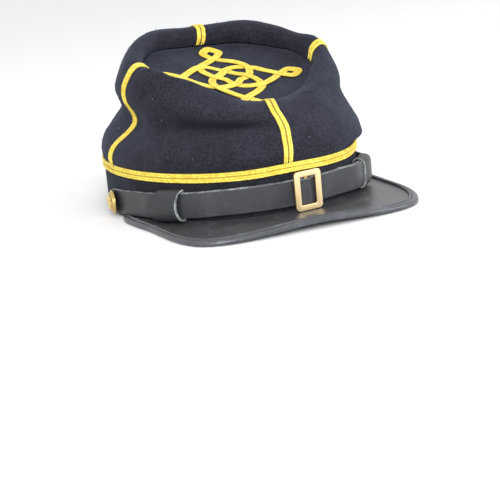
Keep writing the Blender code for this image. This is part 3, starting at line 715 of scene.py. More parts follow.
# ---- what repeats
class Growth(Tree):
    """A Geometry Nodes tree that lays or scatters a small shape over what it is given."""

    def __init__(self, name: str, *sizes: str) -> None:
        """Give the tree a geometry input, its sizes, a seed and a material.

        Args:
            name: Of the tree.
            sizes: The names of its sizes.
        """
        group = bpy.data.node_groups.new(name, "GeometryNodeTree")
        super().__init__(group)
        face = group.interface
        face.new_socket("Geometry", in_out="OUTPUT", socket_type="NodeSocketGeometry")
        kinds = {"Geometry": "Geometry", **dict.fromkeys(sizes, "Float"), "Seed": "Int",
                 "Material": "Material"}
        for label, kind in kinds.items():
            face.new_socket(label, in_out="INPUT", socket_type=f"NodeSocket{kind}")
        self.wanted = {label: self.node("NodeGroupInput", output=label) for label in kinds}

    def between(self, low: Operand, high: Operand, own: int) -> Socket:
        """A random number for each instance, from the seed and a place of its own."""
        return self.node("FunctionNodeRandomValue",
                         {2: low, 3: high, "Seed": self.wanted["Seed"] + float(own)}, 1, data_type="FLOAT")

    def turned(self, rotation: Socket, axis: Sequence[float], angle: Operand) -> Socket:
        """A rotation followed by one about its own axis."""
        turn = self.node("FunctionNodeAxisAngleToRotation", {"Axis": axis, "Angle": angle})
        return self.node(
            "FunctionNodeRotateRotation", {"Rotation": rotation, "Rotate By": turn}, rotation_space="LOCAL")

    def vector(self, x: Operand = 0.0, y: Operand = 0.0, z: Operand = 0.0) -> Socket:
        """Three numbers as a vector."""
        return self.node("ShaderNodeCombineXYZ", {0: x, 1: y, 2: z})

    def finish(self, points: Socket, shape: Socket, rotation: Socket, scale: Socket, own: int) -> None:
        """Put the shape on the points, give each its tint, make it real and give it the material.

        Args:
            points: Where the shapes go.
            shape: The geometry of one.
            rotation: Of each.
            scale: Of each.
            own: The place of the tint's random numbers.
        """
        laid = self.node("GeometryNodeInstanceOnPoints", {
            "Points": points, "Instance": shape, "Rotation": rotation, "Scale": scale})
        tinted = self.node(
            "GeometryNodeStoreNamedAttribute",
            {"Geometry": laid, "Name": "tint", "Value": self.between(0.0, 1.0, own)},
            data_type="FLOAT", domain="INSTANCE")
        real = self.node("GeometryNodeRealizeInstances", {"Geometry": tinted})
        smooth = self.node("GeometryNodeSetShadeSmooth", {"Geometry": real})
        dressed = self.node(
            "GeometryNodeSetMaterial", {"Geometry": smooth, "Material": self.wanted["Material"]})
        self.node("NodeGroupOutput", {"Geometry": dressed})

    def grow(self, source: Mesh, name: str, values: dict[str, Any]) -> Mesh:
        """Run the tree on a mesh.

        Args:
            source: The mesh that it works on.
            name: Of the result.
            values: The tree's inputs by their names.

        Returns:
            The result as a plain mesh.
        """
        carrier = put_in_scene(f"{name}_source", source)
        modifier = carrier.modifiers.new("grow", "NODES")
        modifier.node_group = self.tree
        for item in self.tree.interface.items_tree:
            if item.in_out == "INPUT" and item.name in values:
                modifier[item.identifier] = values[item.name]
        graph = bpy.context.evaluated_depsgraph_get()
        mesh = bpy.data.meshes.new_from_object(carrier.evaluated_get(graph))
        mesh.name = name
        bpy.data.objects.remove(carrier)
        return mesh


class LaidThreads(Growth):
    """Short strands laid along lines, each slanted as its line's lean says."""

    def __init__(self) -> None:
        """Build the tree: a bent grain at each step along the lines' curves."""
        super().__init__(
            "laid_threads", "Pitch", "Length", "Width", "Height", "Drop", "Slant", "Unevenness")
        wanted = self.wanted
        line = self.node("GeometryNodeMeshToCurve", {"Mesh": wanted["Geometry"]})
        points = self.node(
            "GeometryNodeResampleCurve", {"Curve": line, "Length": wanted["Pitch"]}, mode="LENGTH")
        ball = self.node("GeometryNodeMeshUVSphere", {"Segments": 6, "Rings": 4, "Radius": 0.5})
        size = self.vector(wanted["Length"], wanted["Width"], wanted["Height"])
        grain = self.node("GeometryNodeTransform", {"Geometry": ball, "Scale": size})
        along = self.node("ShaderNodeSeparateXYZ", {0: self.node("GeometryNodeInputPosition")})
        share = along / wanted["Length"] * 2.0
        down = self.vector(z=-(share * share * wanted["Drop"]))
        strand = self.node("GeometryNodeSetPosition", {"Geometry": grain, "Offset": down})
        upright = self._named("up", "FLOAT_VECTOR")
        standing = self.node("FunctionNodeAlignRotationToVector", {"Vector": upright}, axis="Z")
        facing = self.node(
            "FunctionNodeAlignRotationToVector",
            {"Rotation": standing, "Vector": self.node("GeometryNodeInputTangent")}, axis="X",
            pivot_axis="Z")
        loose = wanted["Unevenness"]
        slant = self._named("lean", "FLOAT") * wanted["Slant"] + self.between(-loose, loose, 0)
        rotation = self.turned(facing, (0.0, 0.0, 1.0), slant)
        self.finish(points, strand, rotation, self.between(1.0 - loose, 1.0 + loose, 1), 2)

    def _named(self, name: str, kind: str) -> Socket:
        """An attribute of the incoming geometry."""
        return self.node("GeometryNodeInputNamedAttribute", {"Name": name}, data_type=kind)


class LooseFibres(Growth):
    """Bent hairs scattered over a surface."""

    def __init__(self) -> None:
        """Build the tree: a three-sided hair, turned and laid over at random."""
        super().__init__("loose_fibres", "Density", "Length", "Radius", "Lie")
        wanted = self.wanted
        scattered = self.node(
            "GeometryNodeDistributePointsOnFaces",
            {"Mesh": wanted["Geometry"], "Density": wanted["Density"], "Seed": wanted["Seed"]},
            distribute_method="RANDOM")
        facing = Socket(self, scattered.output.node.outputs["Rotation"])
        length = wanted["Length"]
        spine = self.node("GeometryNodeCurveQuadraticBezier", {
            "Resolution": 3, "Start": (0.0, 0.0, 0.0), "Middle": self.vector(length * 0.1, z=length * 0.55),
            "End": self.vector(length * 0.55, length * 0.2, length * 0.7)})
        ring = self.node("GeometryNodeCurvePrimitiveCircle", {"Resolution": 3, "Radius": wanted["Radius"]})
        hair = self.node(
            "GeometryNodeCurveToMesh", {"Curve": spine, "Profile Curve": ring, "Fill Caps": True})
        spin = self.turned(facing, (0.0, 0.0, 1.0), self.between(0.0, math.tau, 3))
        rotation = self.turned(spin, (0.0, 1.0, 0.0), self.between(0.0, wanted["Lie"], 4))
        self.finish(scattered, hair, rotation, self.between(0.5, 1.25, 5), 6)


@dataclass
class Bench:
    """What every sub-assembly is made with."""

    finishes: Wardrobe = field(default_factory=Wardrobe)
    threads: LaidThreads = field(default_factory=LaidThreads)
    fibres: LooseFibres = field(default_factory=LooseFibres)

    def show(self, name: str, mesh: Mesh, material: Material, slot: Slot,
             *nodes: str) -> bpy.types.Object:
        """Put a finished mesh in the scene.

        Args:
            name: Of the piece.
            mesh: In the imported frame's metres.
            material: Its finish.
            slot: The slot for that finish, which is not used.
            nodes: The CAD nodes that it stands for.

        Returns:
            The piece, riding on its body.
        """
        mesh.materials.clear()
        mesh.materials.append(material)
        piece = put_in_scene(name, mesh)
        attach(piece, BODY)
        if nodes:
            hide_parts(*nodes)
        LOG.info("%s: %d faces", name, len(mesh.polygons))
        return piece

    def scatter(self, name: str, over: Mesh, material: Material, slot: Slot,
                **values: float) -> None:
        """Scatter loose fibres over a mesh, as a piece of their own.

        Args:
            name: Of the piece.
            over: The mesh that they lie on.
            material: Their finish.
            slot: The slot for that finish, passed on to show().
            values: The fibres' inputs, by their names in small letters.
        """
        inputs = {key.capitalize(): value for key, value in values.items()}
        inputs["Material"] = material
        mesh = self.fibres.grow(over, name, inputs)
        self.show(name, mesh, material, slot)


@dataclass
class SubAssembly:
    """A part of the cap that is made at a bench."""

    bench: Bench


# ---- band
@dataclass
class Oval:
    """The upright oval of the band's outer face."""

    half_length: float = (BAND_HIGH[1] - BAND_LOW[1]) / 2
    half_width: float = (BAND_HIGH[0] - BAND_LOW[0]) / 2

    def normal(self, angle: Number) -> Array:
        """Direction away from the band at an angle."""
        turn = np.radians(angle)
        return unit(np.stack([np.sin(turn) / self.half_width, -np.cos(turn) / self.half_length,
                              np.zeros_like(turn)], -1))

    def point(self, angle: Number, height: Number, offset: Number = 0.0) -> Array:
        """Places round the band.

        Args:
            angle: Round the band.
            height: Over the floor.
            offset: Off the band's face.

        Returns:
            The points, one for each angle, height and offset together.
        """
        angle, height, offset = np.broadcast_arrays(angle, height, offset)
        turn = np.radians(angle)
        base = np.stack([self.half_width * np.sin(turn), -self.half_length * np.cos(turn), height], -1)
        return base + self.normal(angle) * offset[..., None]

    def degrees(self, angle: Number, length: Number) -> Number:
        """Degrees that a length along the band takes at an angle."""
        turn = np.radians(angle)
        across, along = self.half_width * np.cos(turn), self.half_length * np.sin(turn)
        return np.degrees(length / np.hypot(across, along))

    def seat(self, angle: float, height: float, offset: float) -> Chart:
        """A flat chart at the band: x along it to the wearer's left, y up and z outward.

        Args:
            angle: Round the band.
            height: Over the floor.
            offset: Off the band's face.

        Returns:
            A function from the chart's millimetres to the cap's.
        """
        out = self.normal(angle)
        along = np.cross(UP, out)
        origin = self.point(angle, height, offset)
        return lambda places: origin + np.asarray(places) @ np.stack([along, UP, out])


def round_turn(count: int) -> Array:
    """Angles once round the cap, from the back."""
    return 360.0 * np.arange(count) / count - 180.0


@dataclass
class Band(SubAssembly):
    """The upright wool band."""

    oval: Oval
    top: float = BAND_HIGH[2]
    thickness: float = 2.0
    columns: int = 240
    rows: int = 14
    foot: float = 0.5             # of the outer face, over the rounded lower edge
    ripple: float = 0.12
    ripple_length: float = 18.0

    def build(self) -> None:
        """Make the band, with a soft folded lower edge."""
        heights = np.linspace(self.foot, self.top, self.rows)
        angles = round_turn(self.columns)
        face = self.oval.point(angles[None, :], heights[:, None])
        out = np.broadcast_to(self.oval.normal(angles), face.shape)
        face = face + out * (unevenness(face, self.ripple_length, 3.0) * self.ripple)[..., None]
        mesh = cloth_wall("band_cloth", face, out, self.thickness)
        self.bench.show("band_cloth", mesh, self.bench.finishes.band_wool, Slot.WOOL, "band")


# ---- crown
class Section(NamedTuple):
    """Where a section of the crown crosses the four stripes: reach, and height over the seam."""

    name: str
    front: float
    front_up: float
    back: float
    back_up: float
    right: float
    right_up: float
    left: float
    left_up: float


class Swell(NamedTuple):
    """A soft stretch of the side cloth that is moved inward, or lower, most of all in its middle."""

    angle: float
    angle_reach: float
    row: float
    row_reach: float
    amount: float

    def at(self, row: Array, angle: Array) -> Array:
        """How far it moves the cloth at places on it."""
        spread = bell(angle_between(angle, self.angle), self.angle_reach)
        return self.amount * spread * bell(row - self.row, self.row_reach)


class Wave(NamedTuple):
    """A rise of the rim between two stripes."""

    angle: float
    reach: float
    ridge_rise: float
    foot_rise: float
    inward: float


class Crease(NamedTuple):
    """A narrow fold along a line from one place on the crown to another."""

    angle: float
    row: float
    to_angle: float
    to_row: float
    reach: float
    depth: float


SECTIONS = (
    Section("hem", 102.8, 0.3, 102.8, 0.3, 88.7, 0.3, 88.7, 0.3),
    Section("seam", 102.8, 3.4, 102.8, 3.4, 88.8, 3.4, 88.8, 3.4),
    Section("swell", 104.6, 7.5, 105.0, 9.0, 89.5, 8.5, 92.5, 9.0),
    Section("full", 103.8, 14.0, 105.0, 19.0, 87.0, 16.0, 93.5, 16.5),
    Section("under_waist", 100.6, 20.5, 102.0, 31.0, 81.0, 23.0, 90.0, 24.0),
    Section("waist", 97.2, 26.6, 97.0, 43.0, 75.5, 31.0, 85.5, 32.5),
    Section("over_waist", 93.0, 32.4, 89.5, 54.5, 74.0, 39.5, 81.5, 41.0),
    Section("upper", 88.5, 37.2, 80.5, 65.0, 76.5, 48.5, 80.5, 50.0),
    Section("shoulder", 81.5, 40.8, 71.5, 74.0, 76.5, 57.5, 82.0, 58.0),
    Section("brow", 76.0, 42.4, 61.0, 80.5, 73.0, 65.5, 80.5, 64.0),
    Section("ridge", 71.5, 42.4, 52.0, 83.6, 67.0, 70.0, 76.5, 66.4),
    Section("inner_brow", 68.0, 41.8, 45.5, 82.6, 61.5, 69.6, 71.5, 65.2),
    Section("wall_top", 66.0, 40.8, 43.0, 79.0, 59.5, 67.2, 68.5, 62.0),
    Section("wall", 65.8, 39.4, 43.5, 74.2, 59.5, 63.6, 67.5, 58.0),
    Section("foot", 66.5, 38.2, 46.5, 69.8, 61.0, 60.2, 67.0, 54.5),
)
# folds go inward, and fullnesses outward
FOLDS = (
    Swell(-52.0, 26.0, 5.6, 1.5, 3.2),
    Swell(-128.0, 24.0, 5.2, 1.6, 2.6),
    Swell(48.0, 24.0, 6.4, 1.6, 2.4),
    Swell(132.0, 26.0, 5.0, 1.7, 4.0),
    Swell(-32.0, 20.0, 3.0, 1.2, -2.0),
    Swell(180.0, 40.0, 3.4, 1.5, -3.0),
    Swell(50.0, 24.0, 1.7, 1.0, -3.2),
    Swell(-116.0, 20.0, 8.4, 1.5, 2.2),
    Swell(-88.0, 16.0, 4.7, 1.5, 7.2),
    Swell(-88.0, 11.0, 8.7, 1.1, 2.0),
    Swell(-113.0, 13.0, 6.9, 1.0, -2.2),
    Swell(66.0, 18.0, 6.9, 1.4, -5.2),
)
WAVES = (
    Wave(-47.0, 26.0, 7.0, 2.0, 8.0),
    Wave(-143.0, 22.0, 4.0, 3.0, 0.0),
    Wave(150.0, 20.0, 3.0, 1.5, 0.0),
    Wave(116.0, 9.0, -1.7, 1.0, 0.0),
    Wave(98.0, 10.0, 1.8, 0.0, 0.0),
    Wave(40.0, 24.0, 0.0, 2.0, 4.0),
    Wave(63.0, 20.0, 0.5, 0.0, 5.0),
    Wave(-74.0, 9.0, 3.3, 0.0, 0.0),
)
# here the side cloth hangs lower
SAGS = (
    Swell(64.0, 24.0, 2.8, 1.3, 2.6),
    Swell(-114.0, 24.0, 6.0, 1.8, 3.8),
)
CREASES = (
    Crease(-70.0, 5.7, -9.0, 5.6, 4.2, 3.2),
    Crease(-50.0, 5.8, -4.0, 5.6, 2.6, 2.4),
    Crease(-60.0, 7.2, -18.0, 7.2, 5.0, -1.0),
    Crease(-58.0, 4.5, -16.0, 4.4, 4.5, -0.8),
    Crease(12.0, 9.6, 30.0, 7.6, 2.6, 0.9),
    Crease(6.0, 8.4, 26.0, 7.2, 3.0, -0.6),
    Crease(58.0, 8.5, 74.0, 3.4, 6.0, 0.8),
    Crease(-104.0, 7.4, -122.0, 3.6, 5.0, 0.9),
    Crease(-150.0, 8.0, -160.0, 3.0, 6.0, 0.9),
    Crease(152.0, 7.6, 164.0, 3.2, 6.0, 0.8),
)


@dataclass
class Crown(SubAssembly):
    """The soft crown: a side wall that rises to a ridge, rolls over it and meets the top."""

    seam_height: float
    sections: Sequence[Section] = SECTIONS
    folds: Sequence[Swell] = FOLDS
    waves: Sequence[Wave] = WAVES
    creases: Sequence[Crease] = CREASES
    sags: Sequence[Swell] = SAGS
    ridge_row: float = 10.0
    first_wave_row: float = 5.0
    front_lean: float = 2.2
    front_lean_row: float = 4.0
    front_lean_reach: float = 2.5
    thickness: float = 2.0
    columns: int = 264
    steps: int = 7
    row_length: float = 8.0      # usual height of a section, in which creases are laid out
    degree_length: float = 1.6   # and usual length of a degree
    painted_shade_depth: float = 4.5      # of a crease that gets the full painted shade

    def __post_init__(self) -> None:
        """Keep the sections' sizes as an array."""
        self.table = np.array([section[1:] for section in self.sections])
        self.last = len(self.sections) - 1

    def _across(self, values: Sequence[Array], turn: Array) -> Array:
        """A value round a section that passes through four given ones at the stripes.

        Args:
            values: At the front, left, back and right stripe.
            turn: Round the cap, in radians.

        Returns:
            The value at each turn.
        """
        front, left, back, right = values
        mean = (front + back + left + right) / 4
        twice = (front + back - left - right) / 4
        return (mean + (front - back) / 2 * np.cos(turn) + (left - right) / 2 * np.sin(turn)
                + twice * np.cos(2 * turn))

    def _inward(self, row: Array, angle: Array, folds: bool = True) -> Array:
        """How far creases, and folds too, draw the side cloth inward.

        Args:
            row: Numbers of the sections.
            angle: Round the cap.
            folds: Whether the soft folds count, or the creases alone.

        Returns:
            The lengths, in millimetres.
        """
        depth = np.zeros_like(row)
        for fold in self.folds if folds else ():
            depth = depth + fold.at(row, angle)
        for crease in self.creases:
            run = np.array((crease.to_angle - crease.angle, crease.to_row - crease.row))
            run = run * (self.degree_length, self.row_length)
            x = angle_between(angle, crease.angle) * self.degree_length
            y = (row - crease.row) * self.row_length
            share = (x * run[0] + y * run[1]) / (run @ run)
            held = clamped(share)
            off = np.hypot(x - held * run[0], y - held * run[1])
            ends = np.sin(np.clip(share, 0.02, 0.98) * math.pi) ** 0.5
            depth = depth + crease.depth * bell(off, crease.reach) * ends
        return depth

    def _form(self, row: Number, angle: Number) -> Array:
        """Places on the crown's outer face before its cloth's unevenness.

        Args:
            row: Number of the section, also between two.
            angle: Round the cap.

        Returns:
            The points, one for each row and angle together.
        """
        row, angle = np.broadcast_arrays(np.asarray(row, float), np.asarray(angle, float))
        turn = np.radians(angle)
        front, front_up, back, back_up, right, right_up, left, left_up = np.moveaxis(
            spline(self.table, row), -1, 0)
        lean = self.front_lean * bell(row - self.front_lean_row, self.front_lean_reach)
        lean = lean * np.maximum(np.cos(turn), 0.0) ** 2 * clamped(row - 1.0)
        x = (left - right) / 2 - lean + (left + right) / 2 * np.sin(turn)
        y = (back - front) / 2 - (front + back) / 2 * np.cos(turn)
        z = self.seam_height + self._across((front_up, left_up, back_up, right_up), turn)
        span = self.ridge_row - self.first_wave_row
        risen = clamped((row - self.first_wave_row) / span)
        sunk = clamped((row - self.ridge_row) / (self.last - self.ridge_row))
        inward = np.zeros_like(row)
        for wave in self.waves:
            here = bell(angle_between(angle, wave.angle), wave.reach) * risen
            z = z + here * (wave.ridge_rise * (1 - sunk) + wave.foot_rise * sunk)
            inward = inward + here * wave.inward
        held = clamped(row - 1.0) * clamped((self.last - row) * 2.0)
        inward = inward + self._inward(row, angle) * held
        for sag in self.sags:
            z = z - sag.at(row, angle) * held
        return np.stack([x - inward * np.sin(turn), y + inward * np.cos(turn), z], -1)

    def normal(self, row: Number, angle: Number) -> Array:
        """Outward directions of the crown's face.

        Args:
            row: Number of the section, also between two.
            angle: Round the cap.

        Returns:
            The directions, of length 1.
        """
        low, high = (
            np.clip(np.asarray(row, float) + step, 0.0, self.last) for step in (-NEAR_ROW, NEAR_ROW))
        up = self._form(high, angle) - self._form(low, angle)
        behind, before = (self._form(row, np.asarray(angle) + step) for step in (-NEAR_ANGLE, NEAR_ANGLE))
        return unit(np.cross(before - behind, up))

    def point(self, row: Number, angle: Number) -> Array:
        """Places on the crown's uneven outer face.

        Args:
            row: Number of the section, also between two.
            angle: Round the cap.

        Returns:
            The points, one for each row and angle together.
        """
        face = self._form(row, angle)
        free = clamped(np.asarray(row) - 1.5) * clamped(self.last - 0.5 - row)
        rough = sum(unevenness(face, length, seed) * depth for length, seed, depth in CROWN_RIPPLES)
        return face + self.normal(row, angle) * (rough * free)[..., None]

    def build(self) -> None:
        """Make the crown."""
        rows = np.linspace(0.0, self.last, self.last * self.steps + 1)[:, None]
        angles = round_turn(self.columns)[None, :]
        face = self.point(rows, angles)
        mesh = cloth_wall("crown_cloth", face, self.normal(rows, angles), self.thickness)
        row, angle = np.broadcast_arrays(rows, angles)
        # painted shade in the creases, marked for the wool to darken
        crease_shade = clamped(self._inward(row, angle, folds=False) / self.painted_shade_depth)
        mark(mesh, "fold", np.concatenate([crease_shade, crease_shade[-1:], crease_shade[::-1], crease_shade[:1]]))
        self.bench.show("crown_cloth", mesh, self.bench.finishes.wool, Slot.WOOL, "crown")
        self.bench.scatter(
            "crown_nap", mesh, self.bench.finishes.nap, Slot.WOOL, density=62000.0, length=1.7 * MM,
            radius=0.05 * MM, lie=1.35, seed=31)
        self.bench.scatter(
            "crown_lint", mesh, self.bench.finishes.lint, Slot.WOOL, density=450.0, length=1.5 * MM,
            radius=0.07 * MM, lie=1.45, seed=32)


class Dip(NamedTuple):
    """A place where the top lies lower than its even sag, or higher where the depth is negative."""

    x: float
    y: float
    depth: float
    reach: float


DIPS = (
    Dip(40.0, -11.4, 1.6, 30.0),
    Dip(-52.0, -8.0, -2.4, 17.0),
)


@dataclass
class Top(SubAssembly):
    """The oval piece sunk inside the ridge."""

    crown: Crown
    sag: float = 3.0
    sag_power: float = 8.0
    dips: Sequence[Dip] = DIPS
    turned_under: float = 1.2     # how far its edge reaches below the wall's foot
    tuck: float = 0.9             # depth of that edge
    tuck_share: float = 0.06
    ripple: float = 0.16
    ripple_length: float = 16.0
    edge_bulge: float = 0.15
    thickness: float = 2.0
    columns: int = 192
    rings: int = 22

    def __post_init__(self) -> None:
        """Find where the wall's foot crosses the four stripes."""
        self.front, self.left, self.back, self.right = self.crown.point(
            self.crown.last, np.array((0.0, 90.0, 180.0, -90.0)))
        self.middle = (self.front + self.left + self.back + self.right) / 4

    def point(self, share: Number, angle: Number) -> Array:
        """Places on the top's upper face.

        Args:
            share: From its middle, 0, to its edge, 1.
            angle: Round the cap.

        Returns:
            The points.
        """
        share, angle = np.broadcast_arrays(np.asarray(share, float), np.asarray(angle, float))
        edge = self.crown.point(self.crown.last, angle)
        opposite = self.crown.point(self.crown.last, angle + 180.0)
        edge = edge + unit(edge - opposite) * self.turned_under
        point = self.middle + (edge - self.middle) * share[..., None]
        sag = np.full(share.shape, self.sag)
        for dip in self.dips:
            sag = sag + dip.depth * bell(np.hypot(point[..., 0] - dip.x, point[..., 1] - dip.y), dip.reach)
        sag = sag * (1 - share ** self.sag_power)
        sag = sag + self.tuck * clamped((share - 1) / self.tuck_share + 1) ** 2
        return point - UP * sag[..., None]

    def height(self, x: Array, y: Array) -> Array:
        """Height of the upper face at places on it.

        Args:
            x: To the wearer's left.
            y: To the back.

        Returns:
            The heights.
        """
        across = (x - (self.left[0] + self.right[0]) / 2) * 2 / (self.left[0] - self.right[0])
        forward = ((self.front[1] + self.back[1]) / 2 - y) * 2 / (self.back[1] - self.front[1])
        return self.point(np.hypot(across, forward), np.degrees(np.arctan2(across, forward)))[..., 2]

    def build(self) -> None:
        """Make the top as a disc with a soft edge."""
        shares = np.linspace(0.0, 1.0, self.rings + 1)[1:, None]
        angles = round_turn(self.columns)[None, :]
        face = self.point(shares, angles)
        rough = unevenness(face, self.ripple_length, 23.0) * self.ripple
        face = face + UP * (rough * (1 - shares))[..., None]
        under = face - UP * self.thickness
        edge = (face[-1] + under[-1]) / 2
        edge = edge + unit(edge - self.middle) * self.edge_bulge
        mesh = grid_mesh("top_cloth", np.concatenate([under, edge[None], face[::-1]]))
        mesh = close_ends(mesh, self.columns)
        self.bench.show("top_cloth", mesh, self.bench.finishes.wool, Slot.WOOL, "top_disc")
        self.bench.scatter(
            "top_nap", mesh, self.bench.finishes.nap, Slot.WOOL, density=50000.0, length=1.7 * MM,
            radius=0.05 * MM, lie=1.35, seed=34)


# ---- soutache
@dataclass
class Bed:
    """How a braid lies: for places across it, its back's points and the directions off the cloth."""

    lay: Lay
    closed: bool


@dataclass
class Soutache:
    """Flat braid: soft plaited cords side by side, in pairs."""

    cords: int
    width: float
    proud: float
    groove: float
    seam: float
    edge: float
    pitch: float
    strand_height: float
    parting: float                # between the two pairs
    shade: float = 0.25           # how dark its painted shade is
    slant: float = 0.62
    sunk: float = 0.32            # how much of a strand's height lies in its cord
    overlap: float = 1.12         # of the strands' width over their pitch
    unevenness: float = 0.12
    steps: int = 6

    @property
    def cord_share(self) -> float:
        """Width of a cord, where the whole braid's is 2."""
        return (2 - 2 * self.parting / self.width) / self.cords

    def height(self, across: Array) -> Array:
        """Height of the braid over its back, for places from -1 to 1 across it.

        Args:
            across: The places.

        Returns:
            The heights.
        """
        off = (across[:, None] - self.crests()) * 2 / self.cord_share
        cord = np.argmin(np.abs(off), axis=1)
        t = np.clip(off[np.arange(len(across)), cord], -1.0, 1.0)
        valleys = np.array([self.edge] + [self.seam if k % 2 == 0 else self.groove
                                          for k in range(1, self.cords)] + [self.edge])
        floor = valleys[cord] * (1 - t) / 2 + valleys[cord + 1] * (1 + t) / 2
        return floor + (self.proud - floor) * np.sqrt(clamped(1 - t * t))

    def crests(self) -> Array:
        """Where the middles of the cords lie, from -1 to 1 across.

        Returns:
            The places.
        """
        cord = np.arange(self.cords)
        pair = np.where(cord < self.cords / 2, 0.0, 2 * self.parting / self.width)
        return (cord + 0.5) * self.cord_share + pair - 1

    def cord_mesh(self, name: str, bed: Bed) -> Mesh:
        """The braid's body.

        Args:
            name: Of the mesh.
            bed: How it lies.

        Returns:
            A closed mesh, rounded off at open ends.
        """
        over = np.sin(np.linspace(-1.0, 1.0, self.steps + 1) * math.pi / 2)
        across = np.concatenate([crest + over * self.cord_share / 2 for crest in self.crests()])
        across = np.clip(np.unique(np.round(across, 6)), -1.0, 1.0)
        base, out = bed.lay(across)
        height = np.broadcast_to(self.height(across), base.shape[:2]).copy()
        if not bed.closed:
            base = base.copy()
            for station, narrow, low in END_SHAPE:
                height[station] *= low
                for pair in np.array_split(np.arange(len(across)), 2):
                    middle = base[station, pair].mean(axis=0)
                    base[station, pair] = middle + (base[station, pair] - middle) * narrow
        top = base + out * height[..., None]
        back = base[:, np.linspace(len(across) - 1, 0, self.cords + 1).round().astype(int)]
        ring = np.concatenate([top, back], axis=1)
        mesh = grid_mesh(name, ring, wrap_rows=bed.closed, capped=not bed.closed)
        between = np.flatnonzero(np.abs(across) * self.width <= self.parting + 0.01)
        parted = np.isin(np.arange(ring.shape[1]), between)
        # painted shade along the parting between the two pairs
        mark(mesh, "parting", np.tile(parted * self.shade, len(ring)))
        mark(mesh, "tint", np.full(len(mesh.vertices), 0.15))
        return face_outward(mesh)

    def line_mesh(self, name: str, bed: Bed) -> Mesh:
        """Lines along the cords' crests, with the direction off the cloth and the lean of each.

        Args:
            name: Of the mesh.
            bed: How the braid lies.

        Returns:
            A mesh of edges alone.
        """
        base, out = bed.lay(self.crests())
        lines = base + out * (self.proud - self.strand_height * self.sunk)
        leans = np.where(np.arange(self.cords) % 2 == 0, 1.0, -1.0)
        return thread_lines(name, np.swapaxes(lines, 0, 1), np.swapaxes(out, 0, 1), leans, bed.closed)

    def build(self, bench: Bench, name: str, bed: Bed, node: str, seed: int) -> Mesh:
        """Make a braid and the plait on it.

        Args:
            bench: What it is made with.
            name: Of the braid.
            bed: How it lies.
            node: The CAD node that it stands for.
            seed: Of its unevenness.

        Returns:
            The mesh of the braid's body.
        """
        body = self.cord_mesh(f"{name}_cords", bed)
        bench.show(f"{name}_cords", body, bench.finishes.yarn, Slot.BRAID, node)
        cord = self.width * self.cord_share / 2
        plait = bench.threads.grow(self.line_mesh(name, bed), f"{name}_plait", {
            "Pitch": self.pitch * MM, "Length": cord * 0.90 / math.sin(self.slant) * MM,
            "Width": self.pitch * math.sin(self.slant) * self.overlap * MM,
            "Height": self.strand_height * MM, "Drop": (self.proud - self.groove) * 0.75 * MM,
            "Slant": self.slant, "Unevenness": self.unevenness, "Seed": seed,
            "Material": bench.finishes.yarn})
        bench.show(f"{name}_plait", plait, bench.finishes.yarn, Slot.BRAID)
        return body


class Turn(NamedTuple):
    """Where the band's braid was sewn on a little high or low."""

    angle: float
    reach: float
    rise: float


TURNS = (Turn(2.0, 15.0, 1.3), Turn(42.0, 17.0, -1.1))


@dataclass
class BandBraid(SubAssembly):
    """The braid round the seam of band and crown."""

    oval: Oval
    turns: Sequence[Turn] = TURNS
    stations: int = 320

    def build(self) -> None:
        """Lay two pairs of cords round the band."""
        low, high = box_mm("band_braid")
        middle, half = (low[2] + high[2]) / 2, (high[2] - low[2]) / 2
        braid = Soutache(cords=4, width=2 * half, proud=1.05, groove=0.75, seam=0.05, edge=0.15,
                         pitch=1.0, strand_height=0.4, parting=0.5)
        angles = round_turn(self.stations)[:, None]
        for turn in self.turns:
            middle = middle + turn.rise * bell(angle_between(angles, turn.angle), turn.reach)

        def lay(across: Array) -> tuple[Array, Array]:
            """Places across the braid, from its lower edge up."""
            base = self.oval.point(angles, middle + across[None, :] * half, GAP)
            return base, np.broadcast_to(self.oval.normal(angles[:, 0])[:, None], base.shape)

        body = braid.build(self.bench, "band_braid", Bed(lay, closed=True), "band_braid", seed=21)
        self.bench.scatter(
            "band_braid_fluff", body, self.bench.finishes.yarn, Slot.BRAID, density=14000.0,
            length=1.3 * MM, radius=0.045 * MM, lie=1.2, seed=5)


